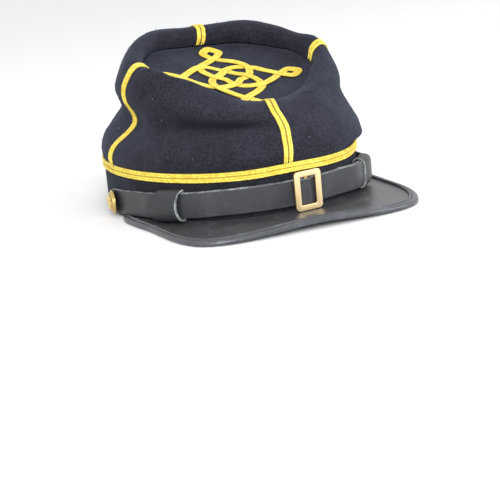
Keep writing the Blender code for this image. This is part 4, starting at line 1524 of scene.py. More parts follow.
@dataclass
class Stripes(SubAssembly):
    """The four stripes of braid that cover the crown's seams."""

    crown: Crown
    foot_height: float
    width: float = 6.7
    lift: float = 0.15
    top_gap: float = 1.9
    station_length: float = 1.6

    def build(self) -> None:
        """Lay the stripes from the band's braid over the ridge to the top."""
        braid = Soutache(cords=4, width=self.width, proud=0.85, groove=0.55, seam=0.05, edge=0.2,
                         pitch=1.1, strand_height=0.36, parting=0.85, shade=0.8)
        for seed, (name, angle) in enumerate((("front_stripe", 0.0), ("left_stripe", 90.0),
                                              ("back_stripe", 180.0), ("right_stripe", -90.0))):
            bed = Bed(self._lay(self._rows(angle), angle), closed=False)
            body = braid.build(self.bench, name, bed, name, seed=40 + seed)
            self.bench.scatter(
                f"{name}_fluff", body, self.bench.finishes.yarn, Slot.BRAID, density=16000.0,
                length=1.2 * MM, radius=0.045 * MM, lie=1.2, seed=seed)

    def _rows(self, angle: float) -> Array:
        """Rows of the crown at equal distances along a stripe, from its foot to its top.

        Args:
            angle: Of the stripe.

        Returns:
            The rows.
        """
        fine = np.linspace(1.0, self.crown.last, 800)
        path = self.crown.point(fine, angle)
        lengths = run_lengths(path)
        rise = sum(turn.rise * bell(angle_between(angle, turn.angle), turn.reach) for turn in TURNS)
        start = np.interp(self.foot_height + rise, path[:100, 2], lengths[:100])
        end = lengths[-1] - self.top_gap
        count = int((end - start) / self.station_length)
        return np.interp(np.linspace(start, end, count), lengths, fine)

    def _lay(self, rows: Array, angle: float) -> Lay:
        """How a stripe lies on the crown, at an angle.

        Args:
            rows: The crown's rows that it passes.
            angle: Of the stripe.

        Returns:
            A function from places across the stripe, for its bed.
        """
        rows = rows[:, None]
        beside = self.crown.point(rows, angle + 90.0) - self.crown.point(rows, angle - 90.0)
        radius = np.linalg.norm(beside, axis=-1) / 2
        spread = np.degrees(self.width / 2 / radius)
        out = self.crown.normal(rows, angle)

        def lay(across: Array) -> tuple[Array, Array]:
            """Places across the stripe."""
            base = self.crown.point(rows, angle + across[None, :] * spread) + out * self.lift
            return base, np.broadcast_to(out, base.shape)

        return lay


class KnotRow(NamedTuple):
    """A place on half a strand of the knot, from the tip of a loop to the waist."""

    name: str
    along: float
    aside: float
    width: float
    level: float


KNOT_ROWS = (
    KnotRow("tip", 50.8, 0.0, 6.2, 0.0),
    KnotRow("loop_side", 45.6, 5.8, 6.0, 0.0),
    KnotRow("loop_foot", 40.6, 4.0, 5.5, -0.6),
    KnotRow("neck", 35.8, 0.0, 5.4, -1.0),
    KnotRow("flare", 28.6, -8.2, 5.4, 0.0),
    KnotRow("shoulder", 23.0, -13.8, 5.4, 0.6),
    KnotRow("outer_crossing", 17.3, -17.3, 5.4, 1.0),
    KnotRow("side", 9.0, -17.0, 5.4, 0.0),
    KnotRow("middle_crossing", 0.0, -12.6, 5.4, -1.0),
    KnotRow("waist", -5.4, -5.4, 5.4, 0.0),
)


@dataclass
class Knot(SubAssembly):
    """The four-looped knot of single braid on the top."""

    top: Top
    rows: Sequence[KnotRow] = KNOT_ROWS
    centre: tuple[float, float] = (2.8, -11.4)
    turn: float = -4.5
    stretches: tuple[float, float, float, float] = (0.0, 2.0, 4.0, 0.0)   # left, back, right, front
    seat: float = 0.15
    wave: float = 0.45
    steps: int = 9

    def build(self) -> None:
        """Lay the strand over and under itself."""
        braid = Soutache(cords=4, width=5.2, proud=0.8, groove=0.5, seam=0.2, edge=0.25,
                         pitch=1.1, strand_height=0.34, parting=0.2, slant=0.68)
        strand = self._strand()
        tangent = unit(np.roll(strand, -1, 0)[:, :2] - np.roll(strand, 1, 0)[:, :2])
        aside = np.stack([-tangent[:, 1], tangent[:, 0]], -1) * strand[:, 3:4] / 2
        low = self.seat + self.wave * (1 + np.sin(strand[:, 2] * math.pi / 2))
        slope = math.atan2(self.top.back[2] - self.top.front[2], self.top.back[1] - self.top.front[1])
        out = unit(np.cross(self.top.left - self.top.right, self.top.back - self.top.front))

        def lay(across: Array) -> tuple[Array, Array]:
            """Places across the strand.

            Args:
                across: From -1 to 1.

            Returns:
                The strand's back and the directions off the top.
            """
            flat = strand[:, None, :2] + aside[:, None] * across[None, :, None]
            x = self.centre[0] + flat[..., 0]
            y = self.centre[1] + flat[..., 1] * math.cos(slope)
            base = np.stack([x, y, self.top.height(x, y)], -1) + out * low[:, None, None]
            return base, np.broadcast_to(out, base.shape)

        braid.build(self.bench, "top_knot", Bed(lay, closed=True), "top_knot", seed=60)

    def _strand(self) -> Array:
        """The closed strand: places along and aside, level and width."""
        stations = []
        for loop, stretch in enumerate(self.stretches):
            turn = math.radians(90.0 * loop + self.turn)
            axis = np.array((math.cos(turn), math.sin(turn)))
            side_axis = np.array((-math.sin(turn), math.cos(turn)))
            back = [(row, -1.0) for row in reversed(self.rows[1:])]
            forth = [(row, 1.0) for row in self.rows[:-1]]
            for row, side in back + forth:
                along = row.along + stretch * clamped(row.along / self.rows[0].along) ** 2
                place = axis * along + side_axis * row.aside * side
                stations.append((*place, row.level * side, row.width))
        count = len(stations) * self.steps
        return spline(np.array(stations), np.arange(count) / self.steps, closed=True)


# ---- peak
class PeakRow(NamedTuple):
    """How far the peak's edge reaches to the wearer's right, to the left and forward."""

    name: str
    right: float
    left: float
    forward: float


PEAK_ROWS = (
    PeakRow("end", 91.0, 91.6, 17.4),
    PeakRow("flare", 94.0, 95.2, 30.0),
    PeakRow("side_back", 93.2, 95.8, 46.0),
    PeakRow("side", 90.5, 95.6, 66.0),
    PeakRow("side_front", 89.0, 95.2, 88.0),
    PeakRow("corner_side", 87.6, 92.6, 106.0),
    PeakRow("corner", 83.8, 86.5, 122.5),
    PeakRow("corner_front", 75.5, 77.5, 134.8),
    PeakRow("front_side", 58.0, 60.0, 142.6),
    PeakRow("front", 28.0, 28.0, 146.0),
    PeakRow("middle", 0.0, 0.0, 146.4),
)


STITCH_GROOVE = 4.7
BINDING_RELIEF = (              # places from the peak's edge, and their rise over the binding's roll
    (2.1, 0.25), (3.0, 0.38), (3.8, 0.25), (4.3, -0.1), (STITCH_GROOVE, -0.32), (5.05, -0.1),
    (5.4, 0.5), (5.9, 0.9), (6.4, 0.85), (6.8, 0.4))


@dataclass
class Peak(SubAssembly):
    """The leather peak and the leather bound round its edge."""

    oval: Oval
    rows: Sequence[PeakRow] = PEAK_ROWS
    thickness: float = 1.8
    end_angle: float = 81.0
    foot: float = 1.7
    seat_rise: float = 1.5
    roll: float = 0.8
    roll_reach: float = 1.6
    arch: float = 4.2
    arch_reach: float = 48.0
    binding_half: float = 1.7
    binding_width: float = 7.0
    binding_clear: float = 2.0
    binding_lip: float = 0.6
    stations: int = 216

    def __post_init__(self) -> None:
        """Find the peak's outer edge, its seat on the band and the binding's width."""
        right = [(-row.right, -row.forward, 0.0) for row in self.rows]
        left = [(row.left, -row.forward, 0.0) for row in reversed(self.rows[:-1])]
        table = np.array(right + left)
        fine = spline(table, np.linspace(0.0, len(table) - 1, 400))
        self.outer = evenly(fine, self.stations + 1)
        share = np.arange(self.stations + 1) / self.stations
        self.seats = self.oval.point(self.end_angle * (2 * share - 1), 0.0, GAP)
        span = self.outer - self.seats
        self.reach = unit(span)
        self.width = np.minimum(self.binding_width, np.linalg.norm(span, axis=-1) - self.binding_clear)
        self.edge_height = self.height(self.outer, self.seats, np.ones(len(self.outer)))

    def height(self, points: Array, seats: Array, share: Array) -> Array:
        """Middle of the leather over the floor.

        Args:
            points: Places on the peak.
            seats: The place on the band that each lies out from.
            share: How far each lies from the seat, 0, to the bound edge, 1.

        Returns:
            The heights.
        """
        forward = np.maximum(-seats[..., 1] / self.oval.half_length, 0.0)
        front = forward * (1 - (seats[..., 0] / self.oval.half_width) ** 2)
        roll = self.roll * forward * bell(np.linalg.norm(points - seats, axis=-1), self.roll_reach)
        arch = self.arch * bell(points[..., 0], self.arch_reach) * share ** 2 * (3 - 2 * share)
        return self.foot + front * self.seat_rise * (1 - share) + roll + arch

    def build(self) -> None:
        """Make the leather, its binding and the binding's stitches."""
        self._leather()
        self._binding()

    def _leather(self) -> None:
        """The flat crescent of leather."""
        edge = self.outer - self.reach * (self.width * (1 - self.binding_lip))[:, None]
        shares = np.concatenate([np.linspace(0.0, 0.12, 7), np.linspace(0.16, 1.0, 15)])
        sheet = self.seats[:, None] + (edge - self.seats)[:, None] * shares[None, :, None]
        seats = np.broadcast_to(self.seats[:, None], sheet.shape)
        middle = self.height(sheet, seats, np.broadcast_to(shares, sheet.shape[:2]))
        half = self.thickness / 2
        top, bottom = sheet.copy(), sheet[:, ::-1].copy()
        top[..., 2] = middle + half
        bottom[..., 2] = middle[:, ::-1] - half
        mesh = grid_mesh("peak_hide", np.concatenate([top, bottom], axis=1), capped=True)
        mesh.set_sharp_from_angle(angle=math.radians(50.0))
        self.bench.show("peak_hide", face_outward(mesh), self.bench.finishes.peak, Slot.PEAK, "peak")
        self.bench.scatter(
            "peak_dust", mesh, self.bench.finishes.lint, Slot.PEAK, density=30000.0, length=0.4 * MM,
            radius=0.045 * MM, lie=1.45, seed=33)

    def _binding(self) -> None:
        """A strip folded round the edge, sewn down beside a raised lip."""
        half, inner = self.binding_half, self.thickness / 2 + GAP
        full = self.binding_width
        roll = [(half * (1 - math.cos(turn)), half * math.sin(turn))
                for turn in np.radians(np.linspace(0.0, 78.0, 7))]
        upper = roll + [(place, half + rise) for place, rise in BINDING_RELIEF]
        upper += [(full, inner + 0.25), (full, inner)]
        floor = full * (1 - self.binding_lip) - GAP
        lower = [(w, -min(h, half)) for w, h in reversed(upper[1:])]
        profile = upper + [(floor, inner), (floor, -inner)] + lower
        inward = np.array([w for w, _ in profile]) / full
        up = np.array([h for _, h in profile])
        extra = np.maximum(up - half, 0.0) * (self.width / full)[:, None] ** 2
        rings = self.outer[:, None] - self.reach[:, None] * (self.width[:, None] * inward)[..., None]
        rings[..., 2] = self.edge_height[:, None] + np.minimum(up, half) + extra
        mesh = grid_mesh("binding_hide", rings, capped=True)
        mesh.set_sharp_from_angle(angle=math.radians(60.0))
        self.bench.show(
            "binding_hide", face_outward(mesh), self.bench.finishes.binding, Slot.BINDING, "peak_binding")
        self._stitches(STITCH_GROOVE / full, half - 0.24)

    def _stitches(self, inward: float, up: float) -> None:
        """Stitches in the groove of the binding, above and below.

        Args:
            inward: The groove's place, as a share of the binding's width.
            up: Its height over the middle of the leather.
        """
        run = self.outer - self.reach * (self.width * inward)[:, None]
        sides = np.array((1.0, -1.0))
        runs = np.repeat(run[None, 6:-6], 2, axis=0)
        runs[..., 2] = self.edge_height[6:-6] + sides[:, None] * up
        ups = np.broadcast_to((UP * sides[:, None])[:, None], runs.shape)
        lines = thread_lines("binding_stitch_lines", runs, ups, np.ones(2))
        mesh = self.bench.threads.grow(lines, "binding_stitches", {
            "Pitch": 2.9 * MM, "Length": 2.3 * MM, "Width": 0.42 * MM, "Height": 0.36 * MM,
            "Drop": 0.14 * MM, "Slant": 0.06, "Unevenness": 0.04, "Seed": 8,
            "Material": self.bench.finishes.stitch})
        self.bench.show("binding_stitches", mesh, self.bench.finishes.stitch, Slot.BINDING)


# ---- chin strap
class Keeper(NamedTuple):
    """A sleeve round the straps: its side and shape, and how far it holds the straps off the band."""

    side: Side
    angle: float
    lift: float
    inner_bow: float
    corner: float
    flare: float                  # of the inner end, away from the straps
    bulge: float                  # of its front, at mid-height
    raw: float                    # how pale its inner end was cut


KEEPERS = (
    Keeper(Side.RIGHT, -50.6, 2.2, 3.2, 3.4, 1.2, 2.2, 1.0),
    Keeper(Side.LEFT, 49.0, 4.4, 2.8, 5.0, -0.9, 0.2, 0.55),
)


@dataclass
class ChinStrap(SubAssembly):
    """Two leather straps, one on the other, through two sleeves and a buckle."""

    oval: Oval
    height: float = 17.5
    thickness: float = 1.6
    bevel: float = 0.45
    lower_edge: float = 0.85      # how raw the lower edge shows, the upper one being 1
    middle: float = 17.4
    drop: float = 6.8
    button_angle: float = 88.0
    under_end: float = 94.5
    over_end: float = 56.0
    over_narrower: float = 0.15
    keepers: Sequence[Keeper] = KEEPERS
    keeper_length: float = 19.0
    keeper_outer_bow: float = 7.8
    keeper_thickness: float = 1.6
    keeper_half_height: float = 11.0
    keeper_spread: float = 7.0
    buckle_angle: float = 6.9
    hump: float = 2.9
    hump_flat: float = 0.4
    hump_reach: float = 3.7
    hole_radius: float = 2.4
    station_length: float = 1.8
    tip: float = 0.7              # half the height of a round end's last station
    hump_span: float = 9.0        # either side of the buckle's bar, with closer stations

    @property
    def under_offset(self) -> float:
        """Middle of the inner strap, off the band."""
        return GAP + self.thickness / 2

    @property
    def over_offset(self) -> float:
        """Middle of the outer strap, off the band."""
        return self.under_offset + self.thickness + GAP

    def level(self, angle: Number) -> Number:
        """Middle of the strap over the floor."""
        return self.middle - self.drop * (np.asarray(angle) / self.button_angle) ** 2

    def lift(self, angle: Array) -> Array:
        """How far the straps stand off the band, to pass through the sleeves.

        Args:
            angle: Round the band.

        Returns:
            The lengths, in millimetres.
        """
        lift = np.zeros_like(angle)
        for keeper in self.keepers:
            inside = self.oval.degrees(keeper.angle, self.keeper_length / 2 + self.keeper_outer_bow)
            beyond = np.maximum(np.abs(angle - keeper.angle) - inside, 0.0)
            lift = lift + keeper.lift * bell(beyond, self.keeper_spread)
        return lift

    def raised(self, angle: Array) -> Array:
        """How far the buckle's bar lifts the outer strap."""
        along = np.abs(angle - self.buckle_angle) / self.oval.degrees(self.buckle_angle, 1.0)
        return self.hump * bell(np.maximum(along - self.hump_flat, 0.0), self.hump_reach)

    def _strip(self, name: str, angles: Array, offset: Array, half_height: Array) -> Mesh:
        """A strip of leather with eased edges, its cut sides marked.

        Args:
            name: Of the mesh.
            angles: Its stations round the band.
            offset: Its middle off the band, for each station.
            half_height: Half its height, for each station.

        Returns:
            A closed mesh.
        """
        half = self.thickness / 2
        corner = [(math.sin(turn), math.cos(turn)) for turn in np.radians((0.0, 30.0, 60.0, 90.0))]
        bevel = self.bevel
        outer = [(1.0, -bevel + bevel * x, half - bevel + bevel * y) for x, y in corner]
        inner = [(1.0, -bevel + bevel * y, -half + bevel - bevel * x) for x, y in corner]
        right = outer + inner
        flat = [(share, 0.0, -half) for share in (0.6, 0.2, -0.2, -0.6)]
        left = [(-share, -ease, out) for share, ease, out in reversed(right)]
        face = [(share, 0.0, half) for share in (-0.94, -0.6, -0.2, 0.2, 0.6, 0.94)]
        share, ease, out = np.array(right + flat + left + face).T
        up = half_height[:, None] * share + ease * np.minimum(half_height[:, None] / 3.0, 1.0)
        rings = self.oval.point(angles[:, None], self.level(angles)[:, None] + up, offset[:, None] + out)
        wander = unevenness(rings, 14.0, 2.0) * 0.10
        rings = rings + self.oval.normal(angles)[:, None] * wander[..., None]
        mesh = grid_mesh(name, rings, capped=True)
        side = np.abs(share) > 0.99
        edge = np.where(side, clamped((half - np.abs(out)) / bevel), 0.0)
        edge = edge * np.where(share > 0, 1.0, self.lower_edge)
        mark(mesh, "cut_edge", np.broadcast_to(edge, rings.shape[:2]))
        return face_outward(mesh)

    def _stations(self, end: float, tip: bool) -> Array:
        """Angles of a strip's stations, closer together at a round tip.

        Args:
            end: The angle of either end.
            tip: Whether the ends are round.

        Returns:
            The angles, from right to left.
        """
        half = self.oval.degrees(end, self.height / 2) if tip else 0.0
        straight = end - half
        count = int(2 * straight / self.oval.degrees(0.0, self.station_length))
        angles = np.linspace(-straight, straight, count)
        if not tip:
            return angles
        turns = np.sin(np.radians(np.linspace(6.0, 90.0, 15)))
        return np.concatenate([-(straight + half * turns)[::-1], angles, straight + half * turns])

    def build(self) -> None:
        """Make both straps and both sleeves."""
        material = self.bench.finishes.strap
        angles = self._stations(self.under_end, tip=True)
        left = (self.under_end - np.abs(angles)) / self.oval.degrees(self.under_end, 1.0)
        full = self.height / 2
        round_end = np.sqrt(np.maximum(full ** 2 - np.maximum(full - left, 0.0) ** 2, 0.0))
        under = self._strip("strap_under_hide", angles, self.under_offset + self.lift(angles),
                            np.maximum(round_end, self.tip))
        self.bench.show("strap_under_hide", self._pierced(under), material, Slot.STRAP, "strap_under")
        angles = self._stations(self.over_end, tip=False)
        near = np.linspace(-self.hump_span, self.hump_span, 31)
        near = self.buckle_angle + self.oval.degrees(self.buckle_angle, near)
        angles = np.sort(np.concatenate([angles[(angles < near[0]) | (angles > near[-1])], near]))
        offset = self.over_offset + self.lift(angles) + self.raised(angles)
        over = self._strip(
            "strap_over_hide", angles, offset, np.full(len(angles), full - self.over_narrower))
        self.bench.show("strap_over_hide", over, material, Slot.STRAP, "strap_over")
        for keeper in self.keepers:
            self._keeper(keeper)

    def _pierced(self, mesh: Mesh) -> Mesh:
        """The inner strap with a hole for each button's shank.

        Args:
            mesh: The strap without holes.

        Returns:
            A new mesh with them.
        """
        strap = put_in_scene("strap_blank", mesh)
        punches = []
        turns = np.radians(15.0 * np.arange(24))
        rim = np.stack([np.cos(turns), np.sin(turns), np.zeros(24)], -1) * self.hole_radius
        for side in Side:
            angle = side.value * self.button_angle
            chart = self.oval.seat(angle, float(self.level(angle)), 0.0)
            rings = np.stack([chart(rim + UP * depth) for depth in (-3.0, 6.0)])
            punch = put_in_scene("punch", face_outward(grid_mesh("punch", rings, capped=True)))
            cut = strap.modifiers.new("punch", "BOOLEAN")
            cut.operation = "DIFFERENCE"
            cut.object = punch
            punches.append(punch)
        graph = bpy.context.evaluated_depsgraph_get()
        pierced = bpy.data.meshes.new_from_object(strap.evaluated_get(graph))
        for tool in punches + [strap]:
            bpy.data.objects.remove(tool)
        pierced.name = "strap_under_hide"
        return pierced

    def _keeper(self, keeper: Keeper) -> None:
        """A leather sleeve round both straps, whose ends bow toward the button.

        Args:
            keeper: Its sizes.
        """
        depth = self.over_offset + keeper.lift + self.thickness / 2 + self.keeper_thickness
        steps = 6
        outline, away = rounded_rectangle(
            2 * self.keeper_half_height, depth, min(keeper.corner, depth / 2 - 0.2), steps)
        flat = np.linspace(0.0, 1.0, 9)[1:-1]
        corners, facing = (each.reshape(4, steps + 1, 2) for each in (outline, away))
        sides = corners[:, -1:] + (np.roll(corners, -1, axis=0)[:, :1] - corners[:, -1:]) * flat[:, None]
        outline = np.concatenate([corners, sides], axis=1).reshape(-1, 2)
        facing = np.concatenate([facing, np.repeat(facing[:, -1:], len(flat), axis=1)], axis=1)
        away = facing.reshape(-1, 2)
        wall, ease = self.keeper_thickness, self.bevel
        half = self.keeper_length / 2
        outer = [(along, 0.0, 0.0) for along in np.linspace(-half + ease, half - ease, 13)]
        turns = np.radians((30.0, 60.0, 90.0))
        end = [(half - ease + ease * math.sin(t), ease - ease * math.cos(t), 0.0) for t in turns]
        end += [(half - ease + ease * math.cos(t), wall - ease + ease * math.sin(t), 0.0) for t in turns]
        inner = [(-along, wall, 0.0) for along, _, _ in outer[1:-1]]
        start = [(-along, wall - into, 1.0) for along, into, _ in end]
        path = np.array(outer + end + inner + start)
        along, into, cut = path.T
        up = outline[None, :, 0] - away[None, :, 0] * into[:, None]
        out = outline[None, :, 1] - away[None, :, 1] * into[:, None]
        share = along[:, None] / self.keeper_length + 0.5
        bow = keeper.inner_bow * (1 - share) + self.keeper_outer_bow * share
        round_ = 1 - (up / self.keeper_half_height) ** 2
        beyond = along[:, None] + bow * round_
        front = clamped(out / (depth / 2))
        out = out + front * (keeper.flare * (1 - clamped(share)) ** 3 + keeper.bulge * round_)
        angle = keeper.angle + keeper.side.value * self.oval.degrees(keeper.angle, beyond)
        rings = self.oval.point(angle, self.level(angle) + up, GAP + depth / 2 + out)
        name = f"keeper_{keeper.side.name.lower()}"
        mesh = grid_mesh(f"{name}_hide", rings, wrap_rows=True)
        mark(mesh, "cut_edge", np.broadcast_to(cut[:, None] * keeper.raw, rings.shape[:2]))
        self.bench.show(f"{name}_hide", face_outward(mesh), self.bench.finishes.keeper, Slot.STRAP, name)


@dataclass
class Buckle(SubAssembly):
    """A flat brass frame with a bar behind it."""

    strap: ChinStrap
    width: float = 21.2
    height: float = 27.2
    rail: float = 4.5
    thickness: float = 1.8
    corner: float = 3.0
    inner_corner: float = 0.9
    bevel: float = 0.4
    off_strap: float = 0.7
    middle: float = 18.1
    bar: float = 1.6
    bar_width: float = 2.8
    bar_bend: float = 0.8
    foot_inset: float = 1.2
    foot_shows: float = 0.8       # of the upper foot, below the rail

    def build(self) -> None:
        """Make the frame, and the bar with its two feet, as one piece."""
        strap = self.strap
        clear = (strap.height / 2 - strap.over_narrower + GAP
                 + abs(self.middle - float(strap.level(strap.buckle_angle))))
        back = strap.over_offset + strap.thickness / 2 + GAP + self.off_strap
        chart = strap.oval.seat(strap.buckle_angle, self.middle, back + self.thickness / 2)
        outer, outer_away = rounded_rectangle(self.width, self.height, self.corner, 8)
        inner, inner_away = rounded_rectangle(self.width - 2 * self.rail, 2 * clear, self.inner_corner, 8)
        half, ease = self.thickness / 2, self.bevel
        turns = np.radians(np.linspace(0.0, 90.0, 5))
        rings = []
        for outline, away, falling, side in ((outer, outer_away, True, -1), (inner, -inner_away, False, -1),
                                             (inner, -inner_away, True, 1), (outer, outer_away, False, 1)):
            for turn in turns:
                across, up = math.cos(turn), math.sin(turn)
                if not falling:
                    across, up = up, across
                rings.append((outline, away, -ease + ease * across, side * (half - ease + ease * up)))
        grid = []
        for outline, away, shift, level in rings:
            flat = outline + away * shift
            grid.append(chart(np.column_stack([flat, np.full(len(flat), level)])))
        level = np.array([ring[3] for ring in rings])
        # painted shade on the frame's sides
        sides = np.repeat(clamped((half - level) / ease), len(outer))
        frame_mesh = face_outward(grid_mesh("buckle_frame", np.array(grid), wrap_rows=True))
        bar_mesh = self._bar(chart, back, clear)
        bm = bmesh.new()
        bm.from_mesh(frame_mesh)
        bm.from_mesh(bar_mesh)
        bm.to_mesh(frame_mesh)
        bm.free()
        # painted shade: the frame's sides and the whole bar are darkened
        mark(frame_mesh, "patina_and_shade", np.concatenate([sides.ravel(), np.ones(len(bar_mesh.vertices))]))
        self.bench.show("buckle_frame", frame_mesh, self.bench.finishes.buckle, Slot.BUCKLE, "buckle")

    def _bar(self, chart: Chart, back: float, clear: float) -> Mesh:
        """The round bar behind the frame, bent forward into it at both ends.

        Args:
            chart: The frame's, in whose plane its middle lies.
            back: The frame's back, off the band.
            clear: Half the height of the frame's opening.

        Returns:
            A closed mesh.
        """
        strap = self.strap
        radius = self.bar / 2
        level = (strap.over_offset - strap.thickness / 2 + strap.hump - GAP - radius - back
                 - self.thickness / 2)
        reach = self.height / 2 - self.foot_inset
        foot = (reach + clear) / 2
        upper = foot - self.foot_shows
        corners = np.array([(0.0, -foot, 0.0), (0.0, -foot, level), (0.0, upper, level), (0.0, upper, 0.0)])
        path = [corners[0]]
        for corner, before, after in zip(corners[1:3], corners[:2], corners[2:]):
            start = corner + unit(before - corner) * self.bar_bend
            end = corner + unit(after - corner) * self.bar_bend
            for share in np.linspace(0.0, 1.0, 6):
                path.append(start * (1 - share) ** 2 + 2 * corner * share * (1 - share) + end * share ** 2)
        path = np.array(path + [corners[3]])
        tangent = unit(np.gradient(path, axis=0))
        aside = np.array((1.0, 0.0, 0.0))
        normal = np.cross(tangent, aside)
        turns = np.radians(30.0 * np.arange(12))
        ring = (aside * np.cos(turns)[None, :, None] * self.bar_width / 2
                + normal[:, None] * np.sin(turns)[None, :, None] * radius)
        points = path[:, None] + ring
        return face_outward(
            grid_mesh("buckle_bar", chart(points.reshape(-1, 3)).reshape(points.shape), capped=True))


@dataclass
class Buttons(SubAssembly):
    """Domed side buttons, with a plain rosette inside a rope rim."""

    strap: ChinStrap
    radius: float = 8.4
    tilt: float = 9.0             # of its face toward the back
    stand: float = 1.1            # off the strap, which that takes
    dome: float = 3.7
    rim: float = 1.3
    shank: float = 2.0
    petals: int = 8
    petal_foot: float = 0.17      # places of the relief, as shares of the face's radius
    petal_reach: float = 0.40
    petal_wave: float = 0.26
    boss: float = 0.13
    bead: float = 0.79
    rope: float = 0.90
    strands: int = 48
    relief: float = 0.38
    face_turn: float = 78.0       # how far round the dome the face reaches
    columns: int = 120
    rings: int = 44

    def _relief(self, share: Array, turn: Array) -> Array:
        """Raised rosette and rope rim, from 0 to 1, over the dome.

        Args:
            share: From the face's middle, 0, to its rim, 1.
            turn: Round the face, in radians.

        Returns:
            The heights.
        """
        reach = self.petal_reach + self.petal_wave * np.abs(np.cos(turn * self.petals / 2)) ** 0.7
        petal = clamped((reach - share) / 0.05)
        petal = petal * clamped((share - self.petal_foot) / 0.04)
        vein = 1 - 0.5 * bell(np.sin(turn * self.petals / 2), 0.12)
        boss = clamped((self.boss - share) / 0.035)
        twist = 0.72 + 0.28 * np.sin(turn * self.strands + share * 60.0)
        rope = bell(share - self.rope, 0.045) * twist
        bead = bell(share - self.bead, 0.02) * 0.5
        return clamped(petal * vein + boss + rope + bead)

    def _tipped(self, grid: Array, side: Side, under: float) -> Array:
        """The button's points in its chart, tipped toward the back and stood off the strap.

        Args:
            grid: Points of an upright button.
            side: Where it sits.
            under: Its underside, off the band.

        Returns:
            The points, in one row.
        """
        turn = math.radians(self.tilt) * side.value
        x, y, z = np.moveaxis(grid.reshape(-1, 3), -1, 0)
        off = z - under
        return np.stack([x * math.cos(turn) + off * math.sin(turn), y,
                         under + self.stand + off * math.cos(turn) - x * math.sin(turn)], -1)

    def build(self) -> None:
        """Make a button on each side."""
        strap = self.strap
        under = strap.under_offset + strap.thickness / 2 + GAP
        turns = np.linspace(0.0, math.tau, self.columns, endpoint=False)
        shares = np.linspace(0.0, 1.0, self.rings + 1)[1:]
        share, turn = np.meshgrid(shares, turns, indexing="ij")
        slope = share * math.radians(self.face_turn)
        lifted = self._relief(share, turn)
        r = (self.radius - 0.9) * np.sin(slope) / math.sin(math.radians(self.face_turn))
        z = under + self.rim - 0.6 + self.dome * np.cos(slope) + lifted * self.relief
        face = np.stack([r * np.cos(turns), r * np.sin(turns), z], -1)
        full, rim = self.radius, self.rim
        side = [(full - 0.65, rim * 0.95), (full - 0.3, rim + 0.1), (full - 0.05, rim * 0.78),
                (full, rim * 0.5), (full - 0.15, 0.15), (full - 0.6, 0.0), (self.shank + 0.2, 0.0),
                (self.shank, 0.0), (self.shank, GAP - under - self.stand / 2)]
        rows = [np.stack([r_ * np.cos(turns), r_ * np.sin(turns), np.full(self.columns, under + h)], -1)
                for r_, h in side]
        grid = np.concatenate([face, np.array(rows)])
        # patina in the relief's hollows; painted shade on the rim's outer side, the underside and the shank
        patina_and_shade = np.concatenate(
            [1 - lifted, np.zeros((2, self.columns)), np.ones((len(side) - 2, self.columns))])
        for which in Side:
            angle = which.value * strap.button_angle
            chart = strap.oval.seat(angle, float(strap.level(angle)), 0.0)
            points = chart(self._tipped(grid, which, under)).reshape(grid.shape)
            name = f"button_{which.name.lower()}"
            mesh = grid_mesh(f"{name}_gilt", points, capped=True)
            mark(mesh, "patina_and_shade", patina_and_shade)
            self.bench.show(
                f"{name}_gilt", face_outward(mesh), self.bench.finishes.button, Slot.BUTTON, name)


# ---- studio
@dataclass(frozen=True)
class Lamp:
    """A soft box, aimed at the cap."""

    name: str
    place: tuple[float, float, float]
    breadth: float
    watts: float
    colour: Colour = (1.0, 1.0, 1.0)


LAMPS = (
    Lamp("soft_key", (-650.0, -1550.0, 760.0), 800.0, 33.0, (0.98, 0.99, 1.0)),
    Lamp("soft_fill", (1350.0, -850.0, 650.0), 1000.0, 19.0, (0.94, 0.97, 1.0)),
    Lamp("soft_top", (100.0, -200.0, 1600.0), 900.0, 4.0, (0.96, 0.98, 1.0)),
)


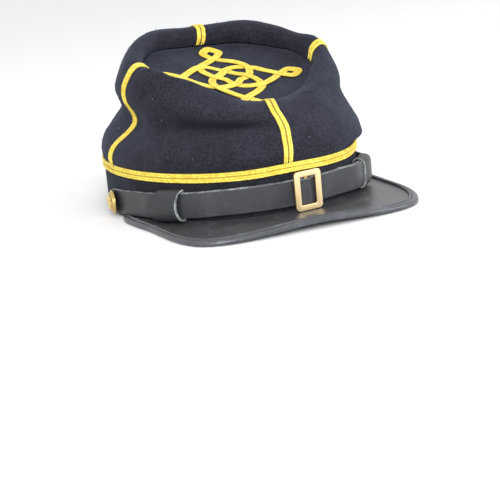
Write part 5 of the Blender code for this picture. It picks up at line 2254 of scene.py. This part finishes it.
@dataclass
class Studio:
    """Floor, light and camera."""

    lamps: Sequence[Lamp] = LAMPS
    surround: float = 1.06
    floor_half: float = 4000.0
    azimuth: float = -22.038      # of the camera round the cap, degrees
    elevation: float = 14.651
    roll: float = 5.665
    distance: float = 1200.0
    aim_right: float = -15.924    # of the picture's middle from the cap's centre
    aim_up: float = 77.026        # both in the picture's own plane
    centre: tuple[float, float, float] = (0.0, 0.0, 36.5)
    lens: float = 119.29
    sensor: float = 36.0

    def build(self) -> None:
        """Set up everything round the cap."""
        self._floor()
        self._light()
        self._camera()

    def _floor(self) -> None:
        """A plain pale floor, which is no part of the cap."""
        half = self.floor_half
        corners = [(-half, -half, 0.0), (half, -half, 0.0), (half, half, 0.0), (-half, half, 0.0)]
        mesh = bpy.data.meshes.new("floor")
        mesh.from_pydata([tuple(value * MM for value in corner) for corner in corners], [], [(0, 1, 2, 3)])
        mesh.materials.append(Floor("pale_floor").make())
        put_in_scene("floor", mesh)

    def _light(self) -> None:
        """A white surround and soft boxes."""
        world = bpy.data.worlds.new("white_surround")
        bpy.context.scene.world = world
        world.use_nodes = True
        sky = world.node_tree.nodes["Background"]
        sky.inputs["Color"].default_value = (1.0, 1.0, 1.0, 1.0)
        sky.inputs["Strength"].default_value = self.surround
        aim = Vector(to_frame(np.array(self.centre)))
        for lamp in self.lamps:
            light = bpy.data.lights.new(lamp.name, "AREA")
            light.shape = "DISK"
            light.size = lamp.breadth * MM
            light.energy = lamp.watts
            light.color = lamp.colour
            holder = put_in_scene(lamp.name, light)
            holder.location = to_frame(np.array(lamp.place))
            holder.rotation_euler = (holder.location - aim).to_track_quat("Z", "Y").to_euler()
        bpy.context.scene.view_settings.view_transform = "Standard"

    def _camera(self) -> None:
        """The photograph's point of view."""
        turn, rise, roll = (math.radians(value) for value in (self.azimuth, self.elevation, self.roll))
        back = Vector((math.sin(turn) * math.cos(rise), -math.cos(turn) * math.cos(rise), math.sin(rise)))
        level = Vector((math.cos(turn), math.sin(turn), 0.0))
        upright = back.cross(level)
        right = level * math.cos(roll) - upright * math.sin(roll)
        up = level * math.sin(roll) + upright * math.cos(roll)
        place = back * self.distance - right * self.aim_right - up * self.aim_up + Vector(self.centre)
        data = bpy.data.cameras.new("photograph")
        data.lens = self.lens
        data.sensor_width = self.sensor
        data.clip_start = 0.05
        data.clip_end = 50.0
        camera = put_in_scene("photograph", data)
        axes = Matrix((right, up, back)).transposed().to_4x4()
        camera.matrix_world = Matrix.Translation(Vector(to_frame(np.array(place)))) @ axes
        bpy.context.scene.camera = camera


def main() -> None:
    """Build the cap's pieces in order, then the studio."""
    logging.basicConfig(level=logging.INFO, format="%(name)s %(message)s")
    bench = Bench()
    oval = Oval()
    Band(bench, oval).build()
    crown = Crown(bench, seam_height=BAND_HIGH[2])
    crown.build()
    top = Top(bench, crown)
    top.build()
    BandBraid(bench, oval).build()
    Stripes(bench, crown, foot_height=box_mm("band_braid")[1][2] + 0.5).build()
    Knot(bench, top).build()
    Peak(bench, oval).build()
    strap = ChinStrap(bench, oval)
    strap.build()
    Buckle(bench, strap).build()
    Buttons(bench, strap).build()
    Studio().build()


if __name__ == "__main__":
    main()
